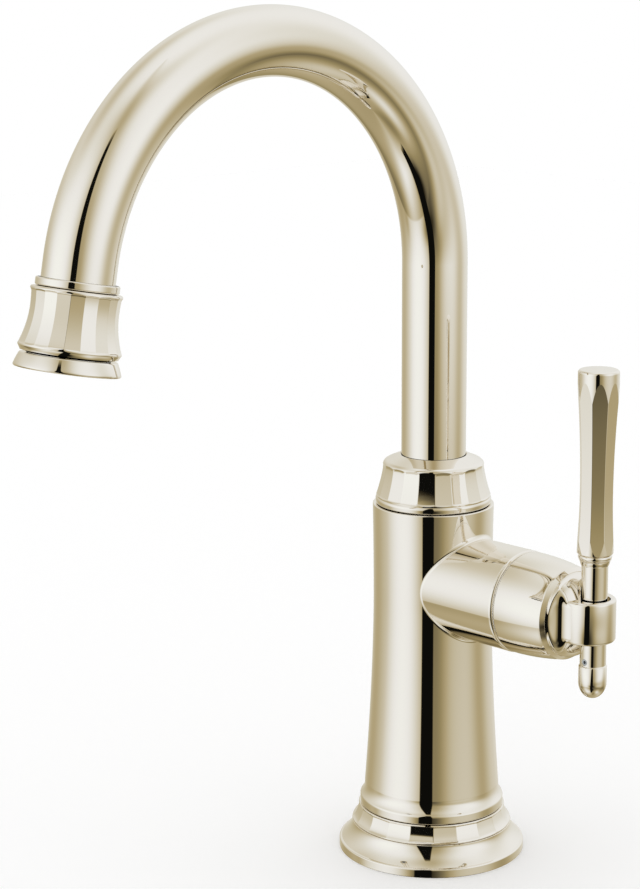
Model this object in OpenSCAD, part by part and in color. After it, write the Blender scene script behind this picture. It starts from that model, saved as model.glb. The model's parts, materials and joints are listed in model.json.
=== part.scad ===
// Beverage faucet: a swivelling gooseneck spout on a waisted column, with a
// quarter-turn lever on a side hub. Origin: centre of the flange's underside.
// +Z is up, the handle points to +X and the spout points to -Y at rest.

/* [Deck] */
// Diameter of the flange on the deck
flange_d = 58.8; // [56:0.2:70]
// Height of the flange, from the deck to the faceted ring
flange_h = 9; // [8:0.1:12]
// Height of the flange's upright rim
flange_rim_h = 2.8; // [2.6:0.1:3.6]
// Diameter of the mounting shank
shank_d = 27; // [22:0.5:27.5]
// Length of the shank below the deck
shank_len = 60; // [50:1:90]
// Thickness of the deck that the nut clamps
deck_t = 20; // [3:1:30]
// Diameter of the washers under the deck
washer_d = 48; // [44:1:60]
// Thickness of the rubber washer
rubber_t = 3; // [2:0.5:5]
// Thickness of the steel washer
steel_t = 1.6; // [1:0.2:3]
// Width of the mounting nut across its flats
nut_af = 36; // [34:1:42]
// Height of the mounting nut
nut_h = 8; // [6:1:12]
// Outer diameter of the supply tube
supply_d = 9.52; // [8:0.04:10]
// Wall of the supply tube
supply_wall = 0.9; // [0.6:0.1:1.4]
// Distance from the shank's end to the end of the supply tube
supply_tail = 18; // [12:1:40]
// Diameter of the inlet nipple's male end
inlet_d = 14.2; // [12.6:0.1:16]
// Length of the inlet nipple's male end
inlet_len = 10; // [8:0.5:16]

/* [Faceted ring] */
// Number of flats on the ring, the collar and the bell
flats = 20; // [14:2:28]
// Height of the ring
ring_h = 5.8; // [5:0.1:9]
// Diameter of the ring at its foot, over the corners
ring_foot_d = 50.4; // [49:0.2:52]
// Diameter of the ring at its top, over the corners
ring_top_d = 46; // [45.6:0.2:48]

/* [Column] */
// Height of the column above the ring
column_h = 98; // [94:1:130]
// Diameter of the band at the column's foot
foot_d = 45.4; // [44:0.2:45.6]
// Height of that band
foot_band_h = 2.8; // [2:0.1:4]
// Height of the cove above the band
foot_cove_h = 3.6; // [3:0.1:5]
// Diameter of the shaft just above the cove
shaft_foot_d = 42.5; // [41:0.1:43]
// Diameter of the shaft at its waist
waist_d = 37.1; // [36.6:0.1:38]
// Diameter of the shaft at its top edge
shaft_top_d = 37.7; // [37.2:0.1:39]
// Wall of the hollow lower shaft
column_wall = 3.6; // [3:0.1:4.2]
// Length of hollow shaft below the valve block
block_h = 18; // [16:0.5:20]

/* [Spout] */
// Outer diameter of the spout tube
tube_d = 20; // [19:0.1:20.6]
// Wall of the spout tube
tube_wall = 1.2; // [0.8:0.1:1.8]
// Height of the straight riser above the column
riser_h = 75.4; // [60:0.2:140]
// Radius of the gooseneck's centre line
arc_r = 69; // [60:0.5:110]
// Angle that the gooseneck turns through
arc_sweep = 169; // [150:1:180]
// Straight tube between the arc and the outlet
tail_len = 4.6; // [3:0.1:12]
// Diameter of the spigot that swivels in the column
spigot_d = 23.8; // [23:0.1:24.4]
// Depth of tube seated in the spigot's socket
tube_seat = 9; // [7:0.5:9.5]

/* [Collar] */
// Diameter of the collar's bead
collar_d = 36; // [35.6:0.1:36.8]
// Height of the collar from the column to the tube
collar_h = 15.6; // [14.6:0.1:18]
// Diameter at the collar's shoulder, over the corners
shoulder_d = 31.2; // [30.6:0.1:32.4]
// Height of the dome above the shoulder
dome_h = 3.5; // [3:0.1:4]

/* [Outlet] */
// Diameter of the ring above the bell
neck_ring_d = 22.6; // [22.2:0.1:23]
// Height of the ring above the bell
neck_ring_h = 2.2; // [1.6:0.1:3]
// Diameter of the bell's waist, over the corners
bell_waist_d = 23.8; // [23.6:0.1:24.2]
// Diameter of the bell's lip
bell_lip_d = 27.8; // [27.4:0.1:28.8]
// Height of the bell
bell_h = 17.2; // [16.6:0.1:20]
// Diameter of the aerator ring at the mouth
mouth_d = 29; // [28:0.1:30]
// Height of the aerator ring
mouth_h = 4.1; // [3.6:0.1:6]
// Diameter of the threaded hole in the bell
aerator_d = 22.4; // [21.6:0.1:22.6]

/* [Valve] */
// Distance from the column's top edge down to the handle's axis
hub_drop = 24.4; // [24.2:0.1:30]
// Diameter of the valve chamber
chamber_d = 22; // [21.4:0.1:22.6]
// Diameter of the ceramic discs
disc_d = 17; // [16.6:0.1:17.4]
// Thickness of each ceramic disc
disc_t = 3; // [2.4:0.1:3.2]
// Distance of each water port from the handle's axis
port_off = 5.4; // [5.2:0.1:5.6]
// Diameter of the water ports
port_d = 5; // [4:0.1:5.2]
// Diameter of the valve stem
stem_d = 9; // [8.4:0.1:9.2]
// Width of the bonnet nut across its flats
bonnet_af = 20; // [19:0.1:21]

/* [Handle] */
// Diameter of the column's side neck
neck_d = 31.5; // [31.2:0.1:32]
// Distance from the column's axis to the end of the side neck
neck_reach = 38.6; // [38.4:0.1:44]
// Length of the hub from the seam to its rim
hub_len = 18.2; // [17.6:0.1:24]
// Diameter of the hub at its rim
hub_rim_d = 28; // [27.6:0.1:29]
// Height of the hub's domed end
hub_dome_h = 4.3; // [4:0.1:5]
// Distance from the hub's rim to the lever
lever_off = 8.3; // [7.6:0.1:9]
// Diameter of the eye that holds the lever
eye_d = 16.2; // [15.8:0.1:17]
// Height of the eye
eye_h = 12.9; // [12:0.1:14]
// Diameter of the lever's stem
lever_d = 7.9; // [7.4:0.1:8.2]
// Length of bare stem between the eye and the grip's ferrule
stem_show = 10.3; // [9:0.1:16]
// Diameter of the grip at its head
grip_d = 12.1; // [11.6:0.1:13]
// Length of the grip
grip_len = 55; // [45:0.5:80]
// Narrowest width of the grip across its flats
grip_waist = 9.3; // [9:0.1:10.4]
// Number of flats on the grip
grip_flats = 8; // [6:2:10]
// Length of the rounded end below the eye
finial_len = 17.6; // [15:0.1:22]
// Diameter of the rounded end
finial_d = 8.4; // [8.2:0.1:9.4]

/* [Fits] */
// Radial gap of a bearing that turns
run_gap = 0.1; // [0.05:0.01:0.1]
// Radial gap between fixed pieces that slip together
slip_gap = 0.1; // [0.05:0.01:0.15]
// Gap between flat faces that turn on each other
face_gap = 0.05; // [0.03:0.01:0.1]
// Width of the seams that show between the pieces
seam_gap = 0.4; // [0.3:0.05:0.5]

/* [Hidden] */
$fn = 64;
eps = 0.01;
steps = 10;

// Heights above the deck
ring_z = flange_h;
column_z = ring_z + ring_h;
column_top = column_z + column_h;
hub_z = column_top - hub_drop;
riser_top = column_top + riser_h;
shaft_z = column_z + foot_band_h + foot_cove_h;
waist_z = hub_z - 6;

// Mounting below and inside the foot
flange_r = flange_d / 2;
shank_r = shank_d / 2;
foot_floor = 3.8;
spigot_foot_r = 17;
cavity_r = 14.6;
cavity_top = hub_z - block_h;
plug_h = 9;
supply_r = supply_d / 2;
supply_seat = 6;
gasket_t = 2;
gasket_in_r = 19.8;
gasket_out_r = 25.8;
washer_z = -deck_t - rubber_t;
nut_z = washer_z - steel_t - nut_h;

// Valve block: the spout's socket, the ports and the chamber
port_r = port_d / 2;
chamber_r = chamber_d / 2;
disc_r = disc_d / 2;
stem_r = stem_d / 2;
socket_r = spigot_d / 2 + run_gap;
socket_wall = 2;
chamber_x = socket_r + socket_wall;
socket_floor = hub_z + port_off - port_r - 1.5;
duct_r = 3.4;
duct_top = hub_z - port_off + port_r + 1;
seal_t = 1;
drive_t = 2;
lug_t = 1.5;
cart_x = chamber_x + seal_t;
fixed_x = cart_x;
moving_x = fixed_x + disc_t + face_gap;
drive_x = moving_x + disc_t + face_gap;
lug_x = drive_x + drive_t;
cart_floor_x = lug_x + lug_t + 0.2;
cart_nose = 5;
cart_end = cart_floor_x + cart_nose;
cart_cavity_r = disc_r + slip_gap;
drive_r = disc_r - 0.1;
thread_r = chamber_r + 2.1;
bonnet_thread = neck_reach - cart_end - 1.2;
bonnet_hex = 4.4;
bonnet_x = cart_end + bonnet_thread;
key_w = 4;
key_h = 1.1;

// Glide ring, spigot and collar of the spout
spigot_r = spigot_d / 2;
glide_out_r = 15.5;
glide_in_r = spigot_r + 2 * run_gap;
glide_sink = 2;
glide_rise = 0.3;
spigot_z = hub_z + port_off + port_r + 0.8;
stub_flange_z = column_top + glide_rise + face_gap;
stub_flange_t = 1.8;
stub_flange_r = glide_out_r + 0.1;
tube_r = tube_d / 2;
tube_bore_r = tube_r - tube_wall;
socket_boss_r = tube_r + 2.3;
tube_z = stub_flange_z + stub_flange_t;
waterway_r = 6.4;
ring_section = 2.4;
groove_w = 2.8;
groove_r = spigot_r - ring_section;
ring_gap = 4;
lock_z = column_top - 4.6;
lock_groove_r = spigot_r - 1.5;
lock_groove_w = 2.8;
screw_r = 1.6;
screw_tip_r = 1.1;
collar_r = collar_d / 2;
collar_z = column_top + seam_gap;
collar_top = column_top + collar_h;
shoulder_r = shoulder_d / 2;
shoulder_z = collar_top - dome_h;
collar_in_r = socket_boss_r + 0.2;
collar_roof = tube_z + tube_seat + slip_gap;

// Outlet, measured along the flow from the end of the arc
neck_ring_r = neck_ring_d / 2;
bell_s = tail_len + neck_ring_h + 0.2;
bell_end = bell_s + bell_h;
mouth_s = bell_end + 0.5;
mouth_end = mouth_s + mouth_h;
bell_lip_r = bell_lip_d / 2;
mouth_r = mouth_d / 2;
aerator_r = aerator_d / 2;
tube_end = bell_s + 6.4;
thread_s = tube_end + 3.6;
insert_r = aerator_r - 1.3;

// Hub, in distances from the column's axis
hub_x = neck_reach + seam_gap;
hub_rim_x = neck_reach + hub_len;
hub_end_t = 12.6;
hub_face_x = hub_rim_x - hub_end_t;
lever_x = hub_rim_x + lever_off;
hub_rim_r = hub_rim_d / 2;
neck_r = neck_d / 2;
hub_cavity_r = neck_r - 2.3;
hub_dome_r = hub_rim_r - 1.9;
stem_end = hub_rim_x - 2.2;
stem_tail_r = stem_r - 0.5;
hub_screw_r = 2;
hub_screw_x = (hub_face_x + hub_rim_x) / 2 + 0.4;

// Eye and lever, in heights from the hub's axis
eye_r = eye_d / 2;
eye_x = lever_x - 2;
lever_r = lever_d / 2;
stud_r = 2.4;
eye_top = eye_h / 2;
ferrule_z = eye_top + stem_show;
ferrule_h = 3.5;
ferrule_r = 5;
grip_z = ferrule_z + ferrule_h;
grip_r = grip_d / 2;
finial_r = finial_d / 2;
finial_screw_z = -eye_top - 5.9;
eye_mouth_r = lever_r + 0.95;

nickel = [0.83, 0.79, 0.70];
brass = [0.74, 0.60, 0.30];
rubber = [0.10, 0.10, 0.11];
steel = [0.62, 0.63, 0.64];
ceramic = [0.92, 0.92, 0.90];
plastic = [0.88, 0.88, 0.86];
copper = [0.72, 0.43, 0.28];

// A curved outline from [r0, z0] to [r1, z1] that flattens towards its end
function cove(r0, z0, r1, z1, power, n = steps) = [
    for (i = [0 : n])
        let (t = i / n)
        [r1 + (r0 - r1) * pow(1 - t, power), z0 + (z1 - z0) * t]
];

// A round corner or dome about [r, z], from angle a0 to a1
function bow(r, z, rr, rz, a0, a1, n = 6) = [
    for (i = [0 : n])
        let (a = a0 + (a1 - a0) * i / n)
        [r + rr * cos(a), z + rz * sin(a)]
];

// Corners of a regular polygon, with a flat facing +X
function corners(n, r) = [
    for (i = [0 : n - 1])
        let (a = (i + 0.5) * 360 / n)
        [r * cos(a), r * sin(a)]
];

// A ring or rod turned about Z: outer and inner radius, from z0 to z1
module turned(r_out, r_in, z0, z1) {
    translate([0, 0, z0])
        difference() {
            cylinder(r = r_out, h = z1 - z0);
            if (r_in > 0)
                translate([0, 0, -1])
                    cylinder(r = r_in, h = z1 - z0 + 2);
        }
}

module drill(r, z0, z1) {
    translate([0, 0, z0])
        cylinder(r = r, h = z1 - z0);
}

// A solid with n flats whose corners follow rows of [radius, height]
module faceted(n, rows) {
    last = len(rows) - 1;
    points = [
        for (row = rows)
            for (c = corners(n, row[0]))
                [c[0], c[1], row[1]]
    ];
    sides = [
        for (k = [0 : last - 1])
            for (i = [0 : n - 1])
                let (j = (i + 1) % n)
                [k * n + i, (k + 1) * n + i, (k + 1) * n + j, k * n + j]
    ];
    floor_face = [[for (i = [0 : n - 1]) i]];
    roof_face = [[for (i = [n - 1 : -1 : 0]) last * n + i]];
    polyhedron(points = points, faces = concat(floor_face, roof_face, sides), convexity = 4);
}

// Places its children on the handle's axis, with Z along +X
module on_hub_axis() {
    translate([0, 0, hub_z])
        rotate([0, 90, 0])
            children();
}

// Places its children on the lever's axis, with Z up from the hub's axis
module on_lever_axis() {
    translate([lever_x, 0, hub_z])
        children();
}

// Places its children at the end of the arc, with Z along the flow
module on_outlet_axis() {
    translate([0, -arc_r * (1 - cos(arc_sweep)), riser_top + arc_r * sin(arc_sweep)])
        rotate([arc_sweep, 0, 0])
            children();
}

module deck_flange() {
    rim = 0.4;
    color(nickel)
        difference() {
            rotate_extrude()
                polygon(concat(
                    [[0, 0], [flange_r, 0]],
                    bow(flange_r - rim, flange_rim_h - rim, rim, rim, 0, 70, 3),
                    cove(flange_r - 0.8, flange_rim_h + 0.1, ring_foot_d / 2 + 0.15, ring_z - 0.1, 1.9),
                    [[ring_foot_d / 2 + 0.05, ring_z], [0, ring_z]]
                ));
            drill(shank_r + 3 * slip_gap, -1, ring_z + 1);
            drill(spigot_foot_r + slip_gap, foot_floor, ring_z + 1);
            turned(gasket_out_r + slip_gap, gasket_in_r - slip_gap, -1, gasket_t);
        }
}

module deck_gasket() {
    color(rubber)
        turned(gasket_out_r, gasket_in_r, 0, gasket_t);
}

// Flats cut into a turned blank, so that their ends come out as shallow arcs
module base_ring() {
    foot_r = ring_foot_d / 2;
    top_r = ring_top_d / 2;
    lip = 0.4;
    color(nickel)
        difference() {
            intersection() {
                rotate_extrude()
                    polygon(concat(
                        [[0, ring_z], [foot_r - 0.1, ring_z], [foot_r, ring_z + lip]],
                        [[top_r + 0.2, column_z - lip], [top_r, column_z - 0.1], [0, column_z - 0.1]]
                    ));
                faceted(flats, [
                    [foot_r + 0.8, ring_z - 0.2],
                    [foot_r - 0.15, ring_z + 1.4 * lip],
                    [top_r, column_z - 1.4 * lip],
                    [top_r + 0.5, column_z + 0.1]
                ]);
            }
            drill(spigot_foot_r + slip_gap, ring_z - 1, column_z + 1);
        }
}

// Radius of the shaft at a height: it narrows to its waist, then opens a little
function shaft_r(z) =
    z < waist_z
        ? waist_d / 2 + (shaft_foot_d - waist_d) / 2 * pow((waist_z - z) / (waist_z - shaft_z), 1.7)
        : waist_d / 2 + (shaft_top_d - waist_d) / 2 * pow((z - waist_z) / (column_top - waist_z), 2);

function shaft_outline(grow) =
    let (edge = 0.3, n = 14)
    concat(
        [[foot_d / 2 - 0.15 + grow, column_z], [foot_d / 2 + grow, column_z + 0.15]],
        [[foot_d / 2 + grow, column_z + foot_band_h - 0.3]],
        [for (p = cove(foot_d / 2 - 0.15, column_z + foot_band_h, shaft_foot_d / 2, shaft_z, 1.6, 6))
            [p[0] + grow, p[1]]],
        [for (i = [1 : n]) let (z = shaft_z + (waist_z - shaft_z) * i / n) [shaft_r(z) + grow, z]],
        [for (i = [1 : 5]) let (z = waist_z + (column_top - edge - waist_z) * i / 5) [shaft_r(z) + grow, z]],
        [[shaft_top_d / 2 - edge + grow, column_top]]
    );

module shaft(grow) {
    rotate_extrude()
        polygon(concat([[0, column_z]], shaft_outline(grow), [[0, column_top]]));
}

// Side neck and its hollow blend into the shaft, built up in thin layers
module side_neck() {
    blend = 1.6;
    layers = 4;
    edge = 0.3;
    on_hub_axis()
        rotate_extrude()
            polygon([
                [0, 0], [neck_r, 0], [neck_r - 0.1, neck_reach - edge],
                [neck_r - edge, neck_reach], [0, neck_reach]
            ]);
    for (i = [1 : layers - 1]) {
        a = 90 * i / layers;
        intersection() {
            on_hub_axis()
                cylinder(r = neck_r + blend * (1 - sin(a)), h = neck_reach - 4);
            shaft(blend * (1 - cos(a)));
        }
    }
}

module body_column() {
    color(nickel)
        difference() {
            union() {
                shaft(0);
                side_neck();
                drill(spigot_foot_r, foot_floor + 0.2, column_z + 1);
            }
            drill(cavity_r, 0, column_z + foot_band_h);
            hollow_shaft();
            drill(supply_r + slip_gap / 2, cavity_top - 1, cavity_top + supply_seat);
            drill(duct_r, cavity_top, duct_top);
            drill(socket_r, socket_floor, column_top + 1);
            drill(glide_out_r + slip_gap, column_top - glide_sink, column_top + 1);
            on_hub_axis() {
                drill(chamber_r, chamber_x, neck_reach + 1);
                drill(thread_r, cart_end, neck_reach + 1);
                translate([port_off, 0, 0])
                    drill(port_r, 0, chamber_x + 1);
                translate([-port_off, 0, 0])
                    drill(port_r, socket_r - 3, chamber_x + 1);
            }
            translate([0, 0, lock_z])
                rotate([-90, 0, 0])
                    drill(screw_r + slip_gap / 2, socket_r - 1, shaft_top_d);
        }
}

// The hollow of the lower shaft keeps one wall and ends in a flat roof
module hollow_shaft() {
    z0 = column_z + foot_band_h;
    z1 = cavity_top;
    n = 6;
    rotate_extrude()
        polygon(concat(
            [[0, z0 - 0.5], [cavity_r, z0 - 0.5]],
            [for (i = [1 : n - 1])
                let (z = z0 + (z1 - z0) * i / n)
                [min(shaft_r(max(z, shaft_z)) - column_wall, cavity_r + (z - z0)), z]],
            [[shaft_r(z1) - column_wall, z1], [0, z1]]
        ));
}

// The plug fills the column's foot; its shaft passes through the deck
module mounting_shank() {
    plug_z = foot_floor + 0.4;
    color(brass)
        difference() {
            union() {
                drill(cavity_r - slip_gap, plug_z, plug_z + plug_h);
                rotate_extrude()
                    polygon([
                        [0, -shank_len], [shank_r - 1, -shank_len], [shank_r, 1 - shank_len],
                        [shank_r, plug_z + 1], [0, plug_z + 1]
                    ]);
            }
            drill(supply_r + 2 * slip_gap, -shank_len - 1, plug_z + plug_h + 1);
            drill(shank_r - 4, -shank_len - 1, 0);
        }
}

module sealing_washer() {
    color(rubber)
        turned(washer_d / 2, shank_r + slip_gap, washer_z, washer_z + rubber_t);
}

module clamp_washer() {
    color(steel)
        turned(washer_d / 2, shank_r + slip_gap, washer_z - steel_t, washer_z);
}

module mounting_nut() {
    corner = nut_af / 2 / cos(30);
    color(brass)
        difference() {
            intersection() {
                translate([0, 0, nut_z])
                    cylinder(r = corner, h = nut_h, $fn = 6);
                rotate_extrude()
                    polygon([
                        [0, nut_z], [nut_af / 2, nut_z], [corner + 0.5, nut_z + 1.6],
                        [corner + 0.5, nut_z + nut_h], [0, nut_z + nut_h]
                    ]);
            }
            drill(shank_r + slip_gap, nut_z - 1, nut_z + nut_h + 1);
        }
}

module supply_tube() {
    color(copper)
        turned(supply_r, supply_r - supply_wall, -shank_len - supply_tail, cavity_top + supply_seat - 0.3);
}

// Hexagon that holds the tube's end, over a plain male end
module inlet_nipple() {
    tube_foot = -shank_len - supply_tail;
    hex_h = 8;
    chamfer = 0.6;
    color(brass)
        difference() {
            union() {
                translate([0, 0, tube_foot])
                    cylinder(r = (inlet_d / 2 + 0.6) / cos(30), h = hex_h, $fn = 6);
                rotate_extrude()
                    polygon([
                        [0, tube_foot - inlet_len], [inlet_d / 2 - chamfer, tube_foot - inlet_len],
                        [inlet_d / 2, tube_foot - inlet_len + chamfer],
                        [inlet_d / 2, tube_foot + eps], [0, tube_foot + eps]
                    ]);
            }
            drill(supply_r + slip_gap / 2, tube_foot, tube_foot + hex_h + 1);
            drill(supply_r - supply_wall, tube_foot - inlet_len - 1, tube_foot + 1);
        }
}

// The two ports of the seal and of the fixed disc
module ports(z0, z1) {
    for (side = [-1, 1])
        translate([side * port_off, 0, 0])
            drill(port_r, z0, z1);
}

module seat_seal() {
    color(rubber)
        on_hub_axis()
            difference() {
                drill(chamber_r - slip_gap, chamber_x, cart_x);
                ports(chamber_x - 1, cart_x + 1);
            }
}

module fixed_disc() {
    color(ceramic)
        on_hub_axis()
            difference() {
                drill(disc_r, fixed_x, fixed_x + disc_t);
                ports(fixed_x - 1, fixed_x + disc_t + 1);
            }
}

// Shell open towards the seat, with the stop that ends the quarter turn
module cartridge_body() {
    stop_in_r = 5.2;
    color(brass)
        on_hub_axis() {
            difference() {
                drill(chamber_r - slip_gap, cart_x, cart_end);
                drill(cart_cavity_r, cart_x - 1, cart_floor_x);
                drill(stem_r + run_gap, cart_floor_x - 1, cart_end + 1);
            }
            translate([0, 0, lug_x + 0.1])
                rotate([0, 0, 2.5])
                    rotate_extrude(angle = 85)
                        translate([stop_in_r, 0])
                            square([cart_cavity_r + 0.3 - stop_in_r, cart_floor_x - lug_x]);
        }
}

module bonnet_nut() {
    color(brass)
        on_hub_axis()
            difference() {
                union() {
                    drill(thread_r - slip_gap, cart_end, bonnet_x);
                    translate([0, 0, bonnet_x - eps])
                        cylinder(r = bonnet_af / 2 / cos(30), h = bonnet_hex, $fn = 6);
                }
                drill(stem_r + 2 * run_gap, cart_end - 1, bonnet_x + bonnet_hex + 1);
            }
}

module hub_washer() {
    color(plastic)
        on_hub_axis()
            turned(neck_r - 0.8, hub_cavity_r + 0.2, neck_reach, neck_reach + seam_gap - face_gap);
}

module spout_glide_ring() {
    color(plastic)
        turned(glide_out_r, glide_in_r, column_top - glide_sink, column_top + glide_rise);
}

// A hexagon socket cut into the head of a grub screw that points along Z
module grub_screw(r, z0, z1) {
    difference() {
        drill(r, z0, z1);
        translate([0, 0, z1 - r])
            cylinder(r = r * 0.55, h = r + 1, $fn = 6);
    }
}

module spout_screw() {
    tip_end = lock_groove_r + 0.3;
    body_start = spigot_r + run_gap + 1;
    color(steel)
        translate([0, 0, lock_z])
            rotate([-90, 0, 0]) {
                grub_screw(screw_r, body_start, shaft_top_d / 2 - 1);
                drill(screw_tip_r, tip_end, body_start + eps);
            }
}

module moving_disc() {
    channel = 2 * (port_off + port_r) - 0.4;
    depth = disc_t / 2;
    color(ceramic)
        on_hub_axis()
            difference() {
                drill(disc_r, moving_x, moving_x + disc_t);
                translate([-port_r, -channel / 2, moving_x - 1])
                    cube([2 * port_r, channel, depth + 0.6]);
                translate([-key_w / 2 - 0.1, -disc_r + 1.4, moving_x + disc_t - key_h - 0.1])
                    cube([key_w + 0.2, 2 * disc_r - 2.8, key_h + 1]);
            }
}

module valve_stem() {
    color(brass)
        on_hub_axis()
            difference() {
                union() {
                    drill(drive_r, drive_x, lug_x);
                    translate([-key_w / 2, -disc_r + 1.6, drive_x - key_h])
                        cube([key_w, 2 * disc_r - 3.2, key_h + eps]);
                    translate([0, 0, lug_x - eps])
                        rotate([0, 0, 90])
                            rotate_extrude(angle = 180)
                                square([drive_r, lug_t + eps]);
                    drill(stem_r, lug_x - eps, hub_face_x);
                    drill(stem_tail_r, hub_face_x - eps, stem_end);
                }
                for (k = [0, 1])
                    turned(stem_r + 1, stem_r - 1.15, stem_ring_x(k) - 0.65, stem_ring_x(k) + 0.65);
            }
}

function stem_ring_x(k) = cart_floor_x + 1.4 + 2.2 * k;

module o_ring(r_out, section, z) {
    translate([0, 0, z])
        rotate_extrude()
            translate([r_out - section / 2, 0])
                circle(d = section, $fn = 24);
}

module stem_o_rings() {
    color(rubber)
        on_hub_axis()
            for (k = [0, 1])
                o_ring(stem_r + run_gap / 2, 1.1, stem_ring_x(k));
}

// Barrel of the hub: it swells slightly, then closes to a rounded rim
function hub_outline() =
    let (x0 = hub_x + 0.3, x1 = hub_rim_x - 0.8, r0 = neck_r - 0.2, r1 = hub_rim_r, n = 8)
    concat(
        [[r0 - 0.3, hub_x], [r0, x0]],
        [for (i = [1 : n]) let (t = i / n) [r0 - (r0 - r1) * pow(t, 2.6), x0 + (x1 - x0) * t]],
        bow(r1 - 0.8, x1, 0.8, 0.8, 15, 90, 5),
        [[hub_dome_r + 0.5, hub_rim_x], [hub_dome_r + 0.4, hub_rim_x - 0.6]],
        [[hub_dome_r, hub_rim_x - 0.6]],
        bow(0, hub_rim_x - 0.2, hub_dome_r, hub_dome_h, 0, 90, 9)
    );

// Outline of the webs that carry the eye, hollowed on both sides
function web_outline() =
    let (
        hollow = 2,
        fx = eye_x - 1.45,
        fy = sqrt(pow(eye_r + hollow, 2) - pow(eye_x - fx, 2)),
        a1 = atan2(fy, eye_x - fx),
        arc = [for (i = [0 : 5]) let (a = 180 + a1 * -1 * i / 5) [fx + hollow * cos(a), fy + hollow * sin(a)]],
        half = concat([[hub_rim_x - 0.8, hub_dome_r - 0.1], [hub_rim_x + 1.2, hub_dome_r - 0.4]], arc)
    )
    concat(half, [[eye_x, eye_r - 1]], [[eye_x, 1 - eye_r]],
        [for (i = [len(half) - 1 : -1 : 0]) [half[i][0], -half[i][1]]]);

module eye_blank() {
    round_r = 0.9;
    web_h = eye_h - 1.2;
    translate([eye_x, 0, hub_z])
        rotate_extrude()
            polygon(concat(
                [[0, -eye_top]],
                bow(eye_r - round_r, round_r - eye_top, round_r, round_r, -90, 0, 4),
                bow(eye_r - round_r, eye_top - round_r, round_r, round_r, 0, 90, 4),
                [[0, eye_top]]
            ));
    intersection() {
        translate([0, 0, hub_z - web_h / 2])
            linear_extrude(web_h)
                polygon(web_outline());
        on_hub_axis()
            drill(hub_dome_r - 0.2, hub_rim_x - 1, lever_x);
    }
}

module handle_hub() {
    color(nickel)
        difference() {
            union() {
                on_hub_axis()
                    rotate_extrude()
                        polygon(concat([[0, hub_x]], hub_outline()));
                eye_blank();
            }
            on_hub_axis() {
                drill(hub_cavity_r, hub_x - 1, hub_face_x);
                drill(stem_tail_r + slip_gap / 2, hub_face_x - 1, stem_end + 0.3);
                translate([0, 0, hub_screw_x])
                    rotate([0, 90, 0])
                        drill(hub_screw_r + slip_gap / 2, 0, neck_r + 2);
            }
            on_lever_axis() {
                drill(lever_r + slip_gap / 2, -eye_h, eye_h);
                drill(eye_mouth_r, eye_top - 1.2, eye_h);
            }
        }
}

module hub_screw() {
    color(steel)
        on_hub_axis()
            translate([0, 0, hub_screw_x])
                rotate([0, 90, 0])
                    grub_screw(hub_screw_r, stem_tail_r + 0.05, hub_cavity_r - 1.2);
}

module lever_stem() {
    stud_len = finial_len - 6;
    color(nickel)
        on_lever_axis()
            rotate_extrude()
                polygon([
                    [0, -eye_top - stud_len], [stud_r, -eye_top - stud_len], [stud_r, -eye_top],
                    [lever_r, -eye_top], [lever_r, ferrule_z], [stud_r + 0.8, ferrule_z],
                    [stud_r + 0.8, grip_z + grip_len * 0.7], [0, grip_z + grip_len * 0.7]
                ]);
}

module grip_ferrule() {
    bead = 0.9;
    color(nickel)
        on_lever_axis()
            difference() {
                rotate_extrude()
                    polygon(concat(
                        [[0, ferrule_z], [lever_r + 0.15, ferrule_z]],
                        cove(lever_r + 0.3, ferrule_z + 0.3, ferrule_r - 0.2, grip_z - 2 * bead, 0.6, 4),
                        bow(ferrule_r - bead, grip_z - bead, bead, bead, -60, 60, 6),
                        [[0, grip_z]]
                    ));
                drill(stud_r + 0.8 + slip_gap, ferrule_z - 1, grip_z + 1);
            }
}

// Half the grip's width across its flats at a height above its foot
function grip_flat(z) =
    z < grip_len / 3
        ? grip_waist / 2 + (grip_r - grip_waist / 2) * 0.5 * pow(1 - z / (grip_len / 3), 2)
        : grip_waist / 2 + (grip_r - grip_waist / 2) * pow((z - grip_len / 3) / (grip_len * 0.6), 2);

module lever_grip() {
    head = 0.9;
    foot_r = ferrule_r + 0.35;
    n = 12;
    color(nickel)
        on_lever_axis()
            translate([0, 0, grip_z])
                difference() {
                    intersection() {
                        rotate_extrude()
                            polygon(concat(
                                [[0, 0], [foot_r - 0.25, 0], [foot_r, 0.25], [grip_r, grip_len * 0.55]],
                                bow(grip_r - head, grip_len - head - 0.3, head, head, 0, 75, 4),
                                [[0, grip_len]]
                            ));
                        faceted(grip_flats, [
                            for (i = [0 : n])
                                let (z = grip_len * i / n)
                                [grip_flat(z) / cos(180 / grip_flats), z - (i == 0 ? 0.2 : 0) + (i == n ? 0.2 : 0)]
                        ]);
                    }
                    drill(stud_r + 0.8 + slip_gap / 2, -1, grip_len * 0.7 + 0.3);
                }
}

module lever_finial() {
    end_h = 5;
    edge = 0.5;
    color(nickel)
        on_lever_axis()
            translate([0, 0, -eye_top])
                difference() {
                    rotate_extrude()
                        polygon(concat(
                            [[0, -finial_len]],
                            bow(0, end_h - finial_len, finial_r, end_h, -80, 0, 8),
                            [[finial_r, -6.8], [finial_r - 0.2, -6.4], [finial_r - 0.2, -edge]],
                            [[finial_r - 0.2 - edge, -0.02], [0, -0.02]]
                        ));
                    drill(stud_r + slip_gap / 2, 5.7 - finial_len, 1);
                    translate([0, 0, finial_screw_z + eye_top])
                        rotate([90, 0, 0])
                            drill(1, 0, finial_r + 1);
                }
}

module finial_screw() {
    color(steel)
        on_lever_axis()
            translate([0, 0, finial_screw_z])
                rotate([90, 0, 0])
                    grub_screw(0.95, stud_r + 0.05, finial_r - 0.4);
}

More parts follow.
